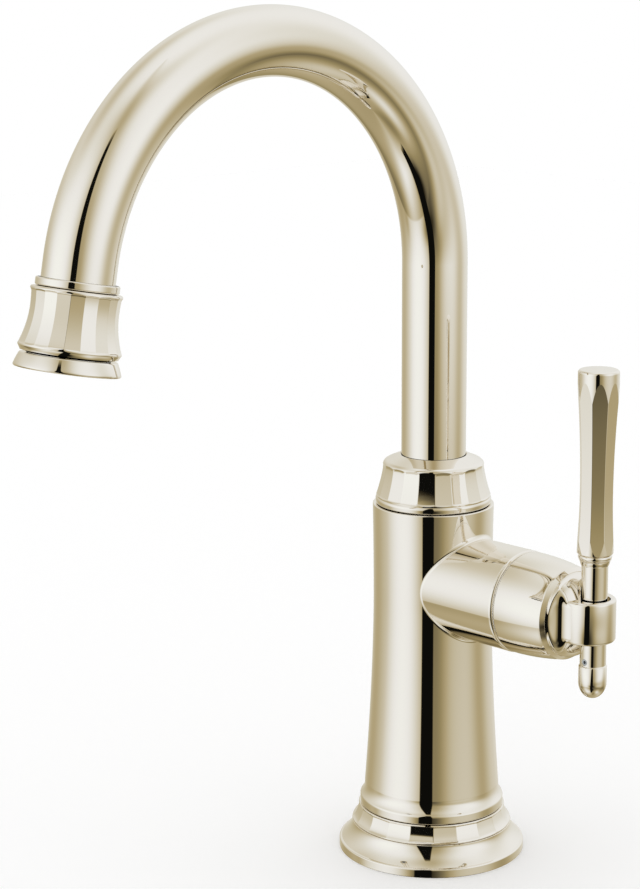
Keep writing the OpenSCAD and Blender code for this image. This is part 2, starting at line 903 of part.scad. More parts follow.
// The wall draws in slightly where the tube is bent
module spout_tube() {
    draw = 0.05;
    color(nickel) {
        rotate([0, 0, 90])
            turned(tube_r, tube_bore_r, tube_z, riser_top);
        translate([0, -arc_r, riser_top])
            rotate([90, 0, 90])
                rotate_extrude(angle = arc_sweep)
                    translate([arc_r, 0])
                        difference() {
                            circle(r = tube_r - draw);
                            circle(r = tube_bore_r + draw);
                        }
        on_outlet_axis()
            rotate([0, 0, 90])
                turned(tube_r, tube_bore_r, -draw, tube_end);
    }
}

module spout_stub() {
    color(brass)
        difference() {
            union() {
                drill(spigot_r, spigot_z, tube_z);
                drill(stub_flange_r, stub_flange_z, tube_z);
                drill(socket_boss_r, stub_flange_z, tube_z + tube_seat);
            }
            drill(waterway_r, spigot_z - 1, tube_z + 1);
            drill(tube_r + slip_gap / 2, tube_z, tube_z + tube_seat + 1);
            for (k = [0, 1])
                turned(spigot_r + 1, groove_r, stub_ring_z(k) - groove_w / 2, stub_ring_z(k) + groove_w / 2);
            turned(spigot_r + 1, lock_groove_r, lock_z - lock_groove_w / 2, lock_z + lock_groove_w / 2);
        }
}

function stub_ring_z(k) = spigot_z + 1 + groove_w / 2 + ring_gap * k;

module stub_o_rings() {
    color(rubber)
        for (k = [0, 1])
            o_ring(spigot_r + run_gap / 2, ring_section, stub_ring_z(k));
}

// Bead, long flats and a domed shoulder that closes on the tube
module spout_collar() {
    bead_h = 2.3;
    flat_z = collar_z + bead_h;
    flat_r = collar_r - 0.3;
    color(nickel)
        difference() {
            intersection() {
                rotate_extrude()
                    polygon(concat(
                        [[0, collar_z]],
                        bow(collar_r - bead_h / 2, collar_z + bead_h / 2, bead_h / 2, bead_h / 2, -80, 40, 7),
                        [[flat_r + 0.1, flat_z + 0.3], [shoulder_r + 0.25, shoulder_z - 0.4]],
                        bow(shoulder_r - 1.85, shoulder_z, 2, 1.8, 15, 65, 5),
                        [[tube_r + 0.3, collar_top - 0.1], [tube_r, collar_top], [0, collar_top]]
                    ));
                faceted(flats, concat(
                    [[collar_r + 1, collar_z - 0.2], [flat_r + 0.3, flat_z - 0.4]],
                    cove(flat_r - 0.05, flat_z + 0.4, shoulder_r, shoulder_z, 1.25, 5),
                    [[shoulder_r + 0.3, shoulder_z + 0.6], [shoulder_r + 0.3, collar_top + 0.2]]
                ));
            }
            drill(stub_flange_r + slip_gap, collar_z - 1, tube_z);
            drill(collar_in_r, collar_z - 1, collar_roof);
            drill(tube_r + slip_gap / 2, collar_z - 1, collar_top + 1);
        }
}

module outlet_neck_ring() {
    edge = 0.4;
    color(nickel)
        on_outlet_axis()
            difference() {
                rotate_extrude()
                    polygon(concat(
                        [[0, tail_len]],
                        bow(neck_ring_r - edge, tail_len + edge, edge, edge, -90, 0, 3),
                        bow(neck_ring_r - edge, tail_len + neck_ring_h - edge, edge, edge, 0, 90, 3),
                        [[0, tail_len + neck_ring_h]]
                    ));
                drill(tube_r + slip_gap / 2, tail_len - 1, tail_len + neck_ring_h + 1);
            }
}

// Corner radius of the bell along its height: a long hollow flare
function bell_r(t) =
    t < 0.3
        ? bell_waist_d / 2 + 0.35 * pow((0.3 - t) / 0.3, 2)
        : bell_waist_d / 2 + (bell_lip_d - bell_waist_d) / 2 * pow((t - 0.3) / 0.6, 2);

module outlet_bell() {
    lip_h = 1.4;
    top_r = bell_r(0);
    n = 8;
    color(nickel)
        on_outlet_axis()
            difference() {
                intersection() {
                    rotate_extrude()
                        polygon(concat(
                            [[0, bell_s], [top_r - 0.5, bell_s]],
                            bow(top_r - 0.5, bell_s + 0.6, 0.6, 0.6, -60, 0, 4),
                            [[top_r + 0.1, bell_s + bell_h * 0.1]],
                            bow(bell_lip_r - 0.7, bell_end - lip_h, 0.7, 0.7, -20, 20, 3),
                            [[bell_lip_r - 0.6, bell_end - 0.3], [bell_lip_r - 0.7, bell_end], [0, bell_end]]
                        ));
                    faceted(flats, concat(
                        [[top_r + 0.5, bell_s - 0.2]],
                        [for (i = [0 : n]) let (t = 0.07 + 0.81 * i / n) [bell_r(t), bell_s + bell_h * t]],
                        [[bell_lip_r + 0.6, bell_end - lip_h / 2], [bell_lip_r + 0.6, bell_end + 0.2]]
                    ));
                }
                drill(tube_r + slip_gap / 2, bell_s - 1, tube_end);
                drill(tube_bore_r, tube_end - 1, thread_s + 1);
                drill(aerator_r, thread_s, bell_end + 1);
            }
}

module aerator_ring() {
    edge = 0.5;
    neck_top = thread_s + 2;
    color(nickel)
        on_outlet_axis()
            difference() {
                rotate_extrude()
                    polygon(concat(
                        [[0, neck_top], [aerator_r - slip_gap, neck_top], [aerator_r - slip_gap, mouth_s]],
                        [[mouth_r - 1.4, mouth_s]],
                        cove(mouth_r - 1.25, mouth_s + 0.15, mouth_r, mouth_end - edge, 1.2, 5),
                        bow(mouth_r - edge, mouth_end - edge, edge, edge, 20, 90, 3),
                        [[0, mouth_end]]
                    ));
                drill(insert_r + slip_gap, neck_top - 1, mouth_end - 1.2);
                drill(insert_r - 0.8, neck_top, mouth_end + 1);
            }
}

module aerator_body() {
    top_s = thread_s + 1.6;
    color(plastic)
        on_outlet_axis()
            difference() {
                drill(insert_r, top_s, mouth_end - 2.4);
                drill(insert_r - 1.2, top_s + 1.2, mouth_end);
                for (ring = [1 : 2])
                    for (k = [0 : 6 * ring - 1])
                        rotate([0, 0, k * 60 / ring])
                            translate([ring * 3.2, 0, 0])
                                drill(0.7, top_s - 1, top_s + 2);
            }
}

module aerator_grid() {
    pitch = 2.9;
    z0 = mouth_end - 2.4;
    color(plastic)
        on_outlet_axis()
            difference() {
                drill(insert_r, z0, mouth_end - 1.2);
                for (ring = [0 : 2])
                    for (k = [0 : max(0, 6 * ring - 1)])
                        rotate([0, 0, ring > 0 ? k * 60 / ring : 0])
                            translate([ring * pitch, 0, 0])
                                drill(0.95, z0 - 1, mouth_end);
            }
}

module aerator_screen() {
    z0 = thread_s + 1.2;
    color(steel)
        on_outlet_axis()
            drill(insert_r - 0.4, z0, z0 + 0.4);
}

module aerator_gasket() {
    color(rubber)
        on_outlet_axis()
            turned(aerator_r - slip_gap, tube_bore_r + 0.2, thread_s, thread_s + 1.2);
}

deck_flange();
deck_gasket();
base_ring();
body_column();
mounting_shank();
sealing_washer();
clamp_washer();
mounting_nut();
supply_tube();
inlet_nipple();
seat_seal();
cartridge_body();
fixed_disc();
bonnet_nut();
hub_washer();
spout_glide_ring();
spout_screw();
moving_disc();
valve_stem();
stem_o_rings();
handle_hub();
hub_screw();
lever_stem();
lever_grip();
grip_ferrule();
lever_finial();
finial_screw();
spout_tube();
spout_stub();
stub_o_rings();
spout_collar();
outlet_neck_ring();
outlet_bell();
aerator_ring();
aerator_body();
aerator_grid();
aerator_screen();
aerator_gasket();
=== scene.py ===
import json
import math

import bpy
from mathutils import Matrix, Vector


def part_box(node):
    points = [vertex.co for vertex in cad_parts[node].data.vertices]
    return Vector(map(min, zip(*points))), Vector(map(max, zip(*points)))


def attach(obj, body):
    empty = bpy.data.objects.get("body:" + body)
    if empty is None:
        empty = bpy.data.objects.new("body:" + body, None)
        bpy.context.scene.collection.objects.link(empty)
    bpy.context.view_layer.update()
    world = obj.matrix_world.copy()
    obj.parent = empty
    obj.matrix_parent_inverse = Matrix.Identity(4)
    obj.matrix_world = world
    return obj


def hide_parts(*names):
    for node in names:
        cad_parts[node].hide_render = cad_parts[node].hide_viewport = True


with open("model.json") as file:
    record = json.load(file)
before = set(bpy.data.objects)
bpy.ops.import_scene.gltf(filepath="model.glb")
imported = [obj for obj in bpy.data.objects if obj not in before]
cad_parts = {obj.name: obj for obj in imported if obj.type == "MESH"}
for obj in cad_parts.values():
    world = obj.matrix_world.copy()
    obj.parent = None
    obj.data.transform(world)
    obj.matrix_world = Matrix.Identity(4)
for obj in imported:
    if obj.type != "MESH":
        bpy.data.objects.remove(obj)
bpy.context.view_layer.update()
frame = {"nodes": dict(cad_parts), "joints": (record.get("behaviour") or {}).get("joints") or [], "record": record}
scene = bpy.context.scene
mm = 0.001
print("frame loaded")


# camera, at the photograph's viewing angle
cameraSet = {
    "azimuth": 43.254,  # round the column, from the spout's side towards the handle
    "distance": 721.4,  # mm from the column's axis
    "height": 289.5,  # mm above the deck
    "pitch": 12.388,  # degrees down
    "yaw": -2.798,  # degrees, left of the column
    "roll": -0.230,
    "focal": 96.40,  # mm
    "sensor": 36.0,  # mm, the picture's long side
}

azimuth = math.radians(cameraSet["azimuth"])
cameraData = bpy.data.cameras.new("camera")
cameraData.lens = cameraSet["focal"]
cameraData.sensor_fit = "VERTICAL"
cameraData.sensor_height = cameraSet["sensor"]
cameraData.sensor_width = cameraSet["sensor"]
cameraData.clip_start = 0.05
cameraData.clip_end = 20
camera = bpy.data.objects.new("camera", cameraData)
camera.location = (
    cameraSet["distance"] * math.sin(azimuth) * mm,
    -cameraSet["distance"] * math.cos(azimuth) * mm,
    cameraSet["height"] * mm,
)
camera.rotation_euler = (
    Matrix.Rotation(azimuth - math.radians(cameraSet["yaw"]), 3, "Z")
    @ Matrix.Rotation(math.radians(90 - cameraSet["pitch"]), 3, "X")
    @ Matrix.Rotation(math.radians(cameraSet["roll"]), 3, "Z")
).to_euler()
scene.collection.objects.link(camera)
scene.camera = camera
print("camera placed")


# nodes and colours
def toLinear(hexColour):
    # sRGB hex to linear RGBA
    out = []
    for k in (1, 3, 5):
        c = int(hexColour[k : k + 2], 16) / 255
        out.append(c / 12.92 if c <= 0.04045 else ((c + 0.055) / 1.055) ** 2.4)
    return (*out, 1.0)


def addNode(tree, kind, settings=None, links=None):
    # adds one node: settings are its properties or socket values, links feed its sockets
    node = tree.nodes.new(kind)
    for key, value in (settings or {}).items():
        if isinstance(key, int) or key in node.inputs:
            node.inputs[key].default_value = value
        else:
            setattr(node, key, value)
    for key, source in (links or {}).items():
        tree.links.new(source, node.inputs[key])
    return node


def newMaterial(name):
    # a material with its node tree and its main shader
    material = bpy.data.materials.new(name)
    material.use_nodes = True
    tree = material.node_tree
    return material, tree, tree.nodes["Principled BSDF"]


def setRamp(node, stops):
    # stops are (position, sRGB hex)
    ramp = node.color_ramp
    while len(ramp.elements) > 1:
        ramp.elements.remove(ramp.elements[-1])
    for i, (at, colour) in enumerate(stops):
        stop = ramp.elements[0] if i == 0 else ramp.elements.new(at)
        stop.position = at
        stop.color = toLinear(colour)


# studio: a white room, soft screens that shade it, one black card, and a glossy table that mirrors it
studioSet = {
    "room": 0.962,  # brightness of the bare walls, 1 = white in the metal
    "table": 0.62,
    "strength": 1.13,  # of what the metal sees
    "tableEdge": -30.0,  # degrees from eye level, seen from the faucet
    "tableTilt": 4.0,  # the edge stands this much higher at the back left
    "tiltTurn": 140.0,  # degrees left of the camera where it stands highest
    "edgeGain": 0.8,  # how sharply the room turns into the table: share for each degree
    "cardAt": -8.3,  # black card, degrees right of the camera at eye level
    "cardLean": 0.0525,  # degrees to the right for each degree up
    "cardHalf": 9.3,  # half width in degrees
    "cardTaper": -0.095,  # degrees of half width for each degree up
    "taperFrom": -15.0,  # degrees up: below this its width stays the same
    "cardTop": 54.0,  # degrees up
    "cardFoot": -66.0,
    "sideGain": 0.6,  # how sharply the card ends at its sides, top and foot
    "topGain": 0.12,
    "footGain": 0.25,
    "cardAside": 2.5,  # degrees that the card's image in the table stands aside
    "asideGain": -0.125,  # it begins at 22 degrees below eye level and is complete at 30
    "asideStart": -2.75,
}
# soft patches of the room and of its image in the table: degrees right of the camera, degrees up,
# half width, half height, and how much lighter or darker they are than the bare surface
roomPatches = [
    (-92, -10, 46, 36, 0.22), (90, 8, 29, 15, 0.045), (-7, 60, 70, 15, -0.14),
    (2, -8, 25, 70, -0.37), (-126, 45, 39, 16, -0.16), (-121, -32, 53, 52, -0.46),
    (127, -46, 41, 27, -0.39), (43, -35, 63, 11, -0.46), (42, -15, 54, 6, -0.17),
    (-10, -24, 22, 6, -0.43), (98, -25, 21, 48, -0.19), (-100, -24, 9, 7, -0.10),
]
tablePatches = [
    (-68, -33, 30, 44, 0.27), (80, -31, 90, 7, -0.13), (39, -56, 87, 14, 0.50),
    (18, -56, 32, 21, -0.45), (-7, -45, 14, 11, -0.70), (-114, -27, 49, 11, -0.18),
    (82, -50, 29, 16, -0.23),
]
# nickel turns a darker room into a browner one, so the light's colour goes with its brightness
lightColours = [
    (0.05, "#0D0D0B"), (0.20, "#373123"), (0.34, "#5D5643"), (0.46, "#7D7357"),
    (0.56, "#988C68"), (0.66, "#B1A585"), (0.74, "#C1BAA4"), (0.82, "#D0CCC0"),
    (0.90, "#DFE0DE"), (0.96, "#EDF0F6"), (1.0, "#F5FAFF"),
]


def buildWorld():
    world = bpy.data.worlds.new("studio")
    scene.world = world
    world.use_nodes = True
    tree = world.node_tree
    tree.nodes.clear()

    # direction of a reflected ray, turned so that x points at the camera
    direction = addNode(tree, "ShaderNodeTexCoord").outputs["Generated"]
    turned = addNode(
        tree, "ShaderNodeVectorRotate",
        {"rotation_type": "Z_AXIS", "Angle": math.pi / 2 - azimuth}, {"Vector": direction},
    )
    x, y, z = addNode(tree, "ShaderNodeSeparateXYZ", links={"Vector": turned.outputs[0]}).outputs
    ray = addNode(tree, "ShaderNodeLightPath").outputs
    known = {"x": x, "y": y, "z": z, "glossy": ray["Is Glossy Ray"], "clear": ray["Is Transmission Ray"]}
    known.update(studioSet)

    # the sums of the studio, one Math node for each row: name of the result, operation and inputs; an input
    # is a number, a name in studioSet or an earlier result, and "clamp" keeps the result between 0 and 1
    sums = [
        ("angle", "ARCTAN2", "y", "x"),
        ("side", "MULTIPLY", "angle", 180 / math.pi),  # degrees right of the camera
        ("angle", "ARCSINE", "z"),
        ("up", "MULTIPLY", "angle", 180 / math.pi),
    ]
    for surface, patches in (("room", roomPatches), ("table", tablePatches)):
        for at, height, halfWidth, halfHeight, amount in patches:
            sums += [
                ("off", "SUBTRACT", "side", at),
                ("off", "WRAP", "off", 180, -180),
                ("across", "DIVIDE", "off", halfWidth),
                ("off", "SUBTRACT", "up", height),
                ("along", "DIVIDE", "off", halfHeight),
                ("along", "MULTIPLY", "along", "along"),
                ("away", "MULTIPLY_ADD", "across", "across", "along"),
                ("away", "MULTIPLY", "away", -1),
                ("soft", "EXPONENT", "away"),
                (surface, "MULTIPLY_ADD", "soft", amount, surface),
            ]
    sums += [
        # the table below its tilted edge, the room above
        ("tilt", "ADD", "side", "tiltTurn"),
        ("tilt", "MULTIPLY", "tilt", math.pi / 180),
        ("tilt", "COSINE", "tilt"),
        ("edge", "MULTIPLY_ADD", "tilt", "tableTilt", "tableEdge"),
        ("below", "SUBTRACT", "edge", "up"),
        ("below", "MULTIPLY_ADD", "below", "edgeGain", 0.5, "clamp"),
        ("light", "SUBTRACT", "table", "room"),
        ("light", "MULTIPLY_ADD", "light", "below", "room"),
        # the card narrows towards its top, and stands a little aside in the table's image
        ("aside", "MULTIPLY_ADD", "up", "asideGain", "asideStart", "clamp"),
        ("aside", "MULTIPLY", "aside", "cardAside"),
        ("middle", "MULTIPLY_ADD", "up", "cardLean", "cardAt"),
        ("off", "SUBTRACT", "side", "middle"),
        ("off", "ADD", "off", "aside"),
        ("off", "ABSOLUTE", "off"),
        ("half", "MAXIMUM", "up", "taperFrom"),
        ("half", "MULTIPLY_ADD", "half", "cardTaper", "cardHalf"),
        ("card", "SUBTRACT", "half", "off"),
        ("card", "MULTIPLY_ADD", "card", "sideGain", 0.5, "clamp"),
        ("end", "SUBTRACT", "cardTop", "up"),
        ("end", "MULTIPLY", "end", "topGain", "clamp"),
        ("card", "MULTIPLY", "card", "end"),
        ("end", "SUBTRACT", "up", "cardFoot"),
        ("end", "MULTIPLY", "end", "footGain", "clamp"),
        ("card", "MULTIPLY", "card", "end"),
        ("card", "SUBTRACT", 1, "card"),
        ("light", "MULTIPLY", "light", "card", "clamp"),
        ("metal", "ADD", "glossy", "clear", "clamp"),
    ]
    for name, operation, *inputs in sums:
        values = [known.get(value, value) for value in inputs if value != "clamp"]
        settings = {i: value for i, value in enumerate(values) if isinstance(value, (int, float))}
        links = {i: value for i, value in enumerate(values) if i not in settings}
        settings.update({"operation": operation, "use_clamp": inputs[-1] == "clamp"})
        known[name] = addNode(tree, "ShaderNodeMath", settings, links).outputs[0]

    # the camera and everything matt meet plain white; metal and clear parts meet the room with its screens
    colour = addNode(tree, "ShaderNodeValToRGB", links={"Fac": known["light"]})
    setRamp(colour, lightColours)
    white = addNode(tree, "ShaderNodeBackground", {"Color": (1, 1, 1, 1), "Strength": 1.0})
    strength = {"Strength": studioSet["strength"]}
    studio = addNode(tree, "ShaderNodeBackground", strength, {"Color": colour.outputs["Color"]})
    links = {0: known["metal"], 1: white.outputs[0], 2: studio.outputs[0]}
    either = addNode(tree, "ShaderNodeMixShader", links=links)
    addNode(tree, "ShaderNodeOutputWorld", links={"Surface": either.outputs[0]})


buildWorld()
print("studio built")


# materials: each has one pattern in object space, for its colours, its gloss or its relief
def noiseScale(size):
    # scale of a noise or cell pattern with features this many mm across
    return 1 / (size * mm)


def waveScale(spacing):
    # scale of straight bands this many mm apart: they repeat every pi / 10 of a unit at a scale of 1
    return math.pi / 10 / (spacing * mm)


def finish(name, sockets, pattern, kind="Noise", value="Fac", colours=None, gloss=None, bump=None):
    # sockets are the shader's own values; one output of the pattern then drives colours, gloss and bump
    material, tree, shader = newMaterial(name)
    for key, setting in sockets.items():
        shader.inputs[key].default_value = setting
    place = addNode(tree, "ShaderNodeTexCoord").outputs["Object"]
    height = addNode(tree, "ShaderNodeTex" + kind, pattern, {"Vector": place}).outputs[value]
    if colours:
        ramp = addNode(tree, "ShaderNodeValToRGB", links={"Fac": height})
        setRamp(ramp, colours)
        tree.links.new(ramp.outputs["Color"], shader.inputs["Base Color"])
    if gloss:
        haze = addNode(tree, "ShaderNodeMapRange", gloss, {"Value": height})
        tree.links.new(haze.outputs["Result"], shader.inputs["Roughness"])
    if bump:
        relief = addNode(tree, "ShaderNodeBump", bump, {"Height": height})
        tree.links.new(relief.outputs["Normal"], shader.inputs["Normal"])
    return material


def polishedNickel():
    # nickel plate over brass, buffed to a mirror: warm white, with a trace of haze from the buffing wheel
    return finish(
        "polished nickel", {"Base Color": toLinear("#EEE8DC"), "Metallic": 1.0},
        {"Scale": noiseScale(16.667), "Detail": 3.0},
        gloss={"From Min": 0.3, "From Max": 0.7, "To Min": 0.018, "To Max": 0.035},
    )


def machinedBrass():
    # yellow brass from the lathe: turning lines, really about 0.1 mm apart, drawn coarser so that they show
    lines = {"bands_direction": "Z", "Scale": waveScale(1.2083), "Distortion": 1.5, "Detail": 2.0}
    return finish(
        "machined brass", {"Metallic": 1.0}, lines, "Wave",
        colours=[(0.0, "#C9A55A"), (1.0, "#DDBE78")], gloss={"To Min": 0.2, "To Max": 0.32},
        bump={"Strength": 0.15, "Distance": 0.05 * mm},
    )


def drawnCopper():
    # copper tube as drawn: soft satin, with darker patches of about 11 mm where it has been handled
    return finish(
        "drawn copper", {"Metallic": 1.0, "Roughness": 0.28}, {"Scale": noiseScale(11.111), "Detail": 4.0},
        colours=[(0.35, "#A9663F"), (0.65, "#D08C64")],
    )


def zincSteel():
    # zinc-plated steel: cool grey, slightly mottled by the crystals of the plating, drawn 1.4 mm wide to show
    return finish(
        "zinc plated steel", {"Metallic": 1.0}, {"Scale": noiseScale(1.4286)}, "Voronoi", "Distance",
        colours=[(0.0, "#C3C6C8"), (1.0, "#A9ADB0")], gloss={"To Min": 0.24, "To Max": 0.38},
    )


def mouldedRubber():
    # black nitrile, matt from the mould, with a fine grain of about 0.3 mm
    return finish(
        "black rubber", {"IOR": 1.52, "Roughness": 0.62}, {"Scale": noiseScale(0.3125), "Detail": 2.0},
        colours=[(0.3, "#161617"), (0.7, "#232325")], bump={"Strength": 0.3, "Distance": 0.08 * mm},
    )


def lappedCeramic():
    # alumina disc: white, dense, lapped flat, with a faint cloud of 2.5 mm from the firing
    return finish(
        "lapped alumina", {"IOR": 1.77, "Roughness": 0.14}, {"Scale": noiseScale(2.5), "Detail": 3.0},
        colours=[(0.3, "#EFEEE8"), (0.7, "#F8F7F3")],
    )


def mouldedAcetal(name, dark, light):
    # acetal from the mould: waxy, even, a little sheen, with flow marks of 2 mm
    return finish(
        name, {"IOR": 1.48}, {"Scale": noiseScale(2.0), "Detail": 2.0},
        colours=[(0.3, dark), (0.7, light)], gloss={"To Min": 0.3, "To Max": 0.42},
    )


nickel = polishedNickel()
slotMaterials = {
    "polished_nickel": nickel,
    "brass": machinedBrass(),
    "copper": drawnCopper(),
    "plain_steel": zincSteel(),
    "black_rubber": mouldedRubber(),
    "ceramic": lappedCeramic(),
    "white_plastic": mouldedAcetal("white acetal", "#E4E3DE", "#EFEEEA"),
    "grey_plastic": mouldedAcetal("grey acetal", "#6E7174", "#7B7E81"),
}
slotOf = {s["node"]: s["material_slot"] for s in frame["record"]["subparts"]}
for nodeName, obj in frame["nodes"].items():
    obj.data.materials.clear()
    obj.data.materials.append(slotMaterials[slotOf[nodeName]])
print("materials made")


# mesh helpers: all sizes are in mm, and become metres when a piece is made
def addPiece(name, body, nodes, quads, place=Matrix.Identity(4), material=nickel):
    # quads hold (point, normal) corners: corners that meet become one vertex, and each face keeps its own
    # normals, so that a mirror finish shows true curves and crisp edges
    weld = 2000  # corners are told apart to 1 / 2000 mm
    seen, points, faces, normals = {}, [], [], []
    turn = place.to_3x3()
    for quad in quads:
        face, used = [], []
        for point, normal in quad:
            key = tuple(round(c * weld) for c in point)
            if key not in seen:
                seen[key] = len(points)
                points.append(place @ Vector(point) * mm)
            if seen[key] not in face:
                face.append(seen[key])
                used.append((turn @ Vector(normal)).normalized())
        if len(face) > 2:
            across = (points[face[1]] - points[face[0]]).cross(points[face[2]] - points[face[0]])
            if across.dot(sum(used, Vector())) < 0:
                face.reverse()
                used.reverse()
            faces.append(face)
            normals.extend(used)
    mesh = bpy.data.meshes.new(name)
    mesh.from_pydata(points, [], faces)
    mesh.shade_smooth()
    mesh.normals_split_custom_set(normals)
    mesh.materials.append(material)
    piece = bpy.data.objects.new(name, mesh)
    scene.collection.objects.link(piece)
    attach(piece, body)
    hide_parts(*nodes)
    return piece


def spread(a, b, count):
    # even steps from a to b, both included
    return [a + (b - a) * i / count for i in range(count + 1)]


def stepped(r, z, *turns):
    # right-angled corners of an outline: it starts at (r, z), then height and radius change in turn
    corners = [(r, z)]
    for i, value in enumerate(turns):
        r, z = (value, z) if i % 2 else (r, value)
        corners.append((r, z))
    return corners


def bow(r, z, size, start, end, count=8, height=None):
    # points of a round corner about (r, z), from one angle to another in degrees
    tall = size if height is None else height
    angles = [math.radians(a) for a in spread(start, end, count)]
    return [(r + size * math.cos(a), z + tall * math.sin(a)) for a in angles]


def cove(r0, z0, r1, z1, power, count=20):
    # a curved outline that flattens towards its end
    return [(r1 + (r0 - r1) * (1 - i / count) ** power, z0 + (z1 - z0) * i / count) for i in range(count + 1)]


def settle(outline):
    # a long straight leg beside a short curved one gets a point near its end, which keeps its shading flat
    result = [outline[0]]
    for i in range(1, len(outline)):
        a, b = outline[i - 1], outline[i]
        long = math.dist(a, b)
        before = math.dist(outline[i - 2], a) if i > 1 else long
        after = math.dist(b, outline[i + 1]) if i + 1 < len(outline) else long
        for share, near in ((before / max(long, 1e-9), True), (1 - after / max(long, 1e-9), False)):
            if (near and 0 < share < 0.25) or (not near and 0.75 < share < 1):
                result.append((a[0] + (b[0] - a[0]) * share, a[1] + (b[1] - a[1]) * share))
        result.append(b)
    return result


def legNormals(outline, crease=28):
    # for each leg of an outline, the normals at its two ends; they agree where the outline bends gently
    legs = [(b[0] - a[0], b[1] - a[1]) for a, b in zip(outline, outline[1:])]
    sizes = [max(math.hypot(*leg), 1e-9) for leg in legs]
    units = [(leg[0] / s, leg[1] / s) for leg, s in zip(legs, sizes)]
    closed = outline[0] == outline[-1]
    result = [[(u[1], -u[0]), (u[1], -u[0])] for u in units]
    for i in range(0 if closed else 1, len(legs)):
        a, b = units[i - 1], units[i]
        if a[0] * b[0] + a[1] * b[1] > math.cos(math.radians(crease)):
            tx = a[0] * sizes[i] + b[0] * sizes[i - 1]
            tz = a[1] * sizes[i] + b[1] * sizes[i - 1]
            size = math.hypot(tx, tz)
            result[i - 1][1] = result[i][0] = (tz / size, -tx / size)
    return result


fullTurn = [2 * math.pi * k / 180 for k in range(181)]


def spin(outline, angles=fullTurn, shifts=None):
    # turns an outline of (radius, height) about Z, its solid to the left of the way it runs; shifts move its
    # points along X
    quads = []
    outline = settle(outline) if shifts is None else outline
    shifts = shifts or [0] * len(outline)
    for i, ends in enumerate(legNormals(outline)):
        for a, b in zip(angles, angles[1:]):
            quad = []
            for k, angle in ((0, a), (0, b), (1, b), (1, a)):
                r, z = outline[i + k]
                n = ends[k]
                c, s = math.cos(angle), math.sin(angle)
                if r < 1e-9:
                    c, s = math.cos((a + b) / 2), math.sin((a + b) / 2)
                quad.append(((r * c + shifts[i + k], r * s, z), (n[0] * c, n[0] * s, n[1])))
            quads.append(quad)
    return quads


def weave(rows):
    # faces between neighbouring rows of (point, normal)
    return [
        [low[k], low[k + 1], high[k + 1], high[k]]
        for low, high in zip(rows, rows[1:])
        for k in range(len(low) - 1)
    ]


def slopeOf(curve, z):
    # how fast a radius grows with height
    step = 0.01
    return (curve(z + step) - curve(z - step)) / (2 * step)


def turnedSurface(radiusAt):
    # surface(angle, height) of a turned form: point and true normal
    def surface(angle, z):
        r, c, s = radiusAt(z), math.cos(angle), math.sin(angle)
        return (r * c, r * s, z), tuple(Vector((c, s, -slopeOf(radiusAt, z))).normalized())

    return surface


def roundRim(angle, z, size, radius):
    # edge of a round hole of radius size, at an angle and height of a turned surface of this radius
    return lambda t: (angle + math.asin(size * math.cos(t) / radius), z + size * math.sin(t))


def makeHole(angle, halfTurn, low, high, rim):
    # a hole in a sheet: halfTurn is in degrees, and with low and high it gives the patch that the hole takes
    # out of the grid; rim(t) gives the hole's edge
    return angle, (low + high) / 2, math.radians(halfTurn), (high - low) / 2, rim


def patchLoop(us, vs, hole):
    # grid points round a hole's patch, and their angles about its centre
    cu, cv, hu, hv = hole[:4]
    inU = [u for u in us if abs(u - cu) < hu + 1e-9]
    inV = [v for v in vs if abs(v - cv) < hv + 1e-9]
    loop = [(u, inV[0]) for u in inU] + [(inU[-1], v) for v in inV[1:]]
    loop += [(u, inV[-1]) for u in inU[-2::-1]] + [(inU[0], v) for v in inV[-2::-1]]
    return loop, [math.atan2((v - cv) / hv, (u - cu) / hu) for u, v in loop]


def cutSheet(us, vs, surface, holes):
    # a sheet surface(u, v) with holes
    rings, crowding = 10, 1.4  # faces between patch and edge
    quads = []
    for u0, u1 in zip(us, us[1:]):
        for v0, v1 in zip(vs, vs[1:]):
            u, v = (u0 + u1) / 2, (v0 + v1) / 2
            if not any(abs(u - h[0]) < h[2] and abs(v - h[1]) < h[3] for h in holes):
                quads.append([surface(u0, v0), surface(u1, v0), surface(u1, v1), surface(u0, v1)])
    for hole in holes:
        loop, turns = patchLoop(us, vs, hole)
        pairs = [(u, v, *hole[4](t)) for (u, v), t in zip(loop, turns)]
        rows = []
        for t in [(i / rings) ** crowding for i in range(rings + 1)]:
            rows.append([surface(u * (1 - t) + a * t, v * (1 - t) + b * t) for u, v, a, b in pairs])
        quads += weave(rows)
    return quads


def drilled(us, vs, surface, hole, radius, z, depth):
    # wall and floor of a round hole in a sheet; its middle lies at this radius and height
    outward = Vector((math.cos(hole[0]), math.sin(hole[0]), 0))
    centre = outward * radius + Vector((0, 0, z))
    top, foot, floor = [], [], []
    for t in patchLoop(us, vs, hole)[1]:
        p = Vector(surface(*hole[4](t))[0])
        sunk = (centre - p).dot(outward)
        inward = (centre - outward * sunk - p).normalized()
        end = p - outward * (depth - sunk)
        top.append((tuple(p), tuple(inward)))
        foot.append((tuple(end), tuple(inward)))
        floor.append((tuple(end), tuple(outward)))
    tip = (tuple(centre - outward * depth), tuple(outward))
    return weave([top, foot]) + [[floor[k], floor[k + 1], tip] for k in range(len(floor) - 1)]


def followBlank(outline):
    # radius and normal of an outline at a height
    normals = legNormals(outline)

    def at(z):
        for i in range(len(outline) - 1):
            (r0, z0), (r1, z1) = outline[i], outline[i + 1]
            if z <= z1 or i == len(outline) - 2:
                t = min(max((z - z0) / (z1 - z0), 0), 1)
                n0, n1 = normals[i]
                return r0 + (r1 - r0) * t, (n0[0] + (n1[0] - n0[0]) * t, n0[1] + (n1[1] - n0[1]) * t)

    return at


def facetAngles(sides, corner, across=8):
    # angles of a piece with flats: a narrow strip at each side of a corner softens it; corner is its share
    half = math.pi / sides
    offsets = [-half] + spread(-half * (1 - corner), half * (1 - corner), across)
    return [2 * math.pi * k / sides + o for k in range(sides) for o in offsets] + [2 * math.pi - half]


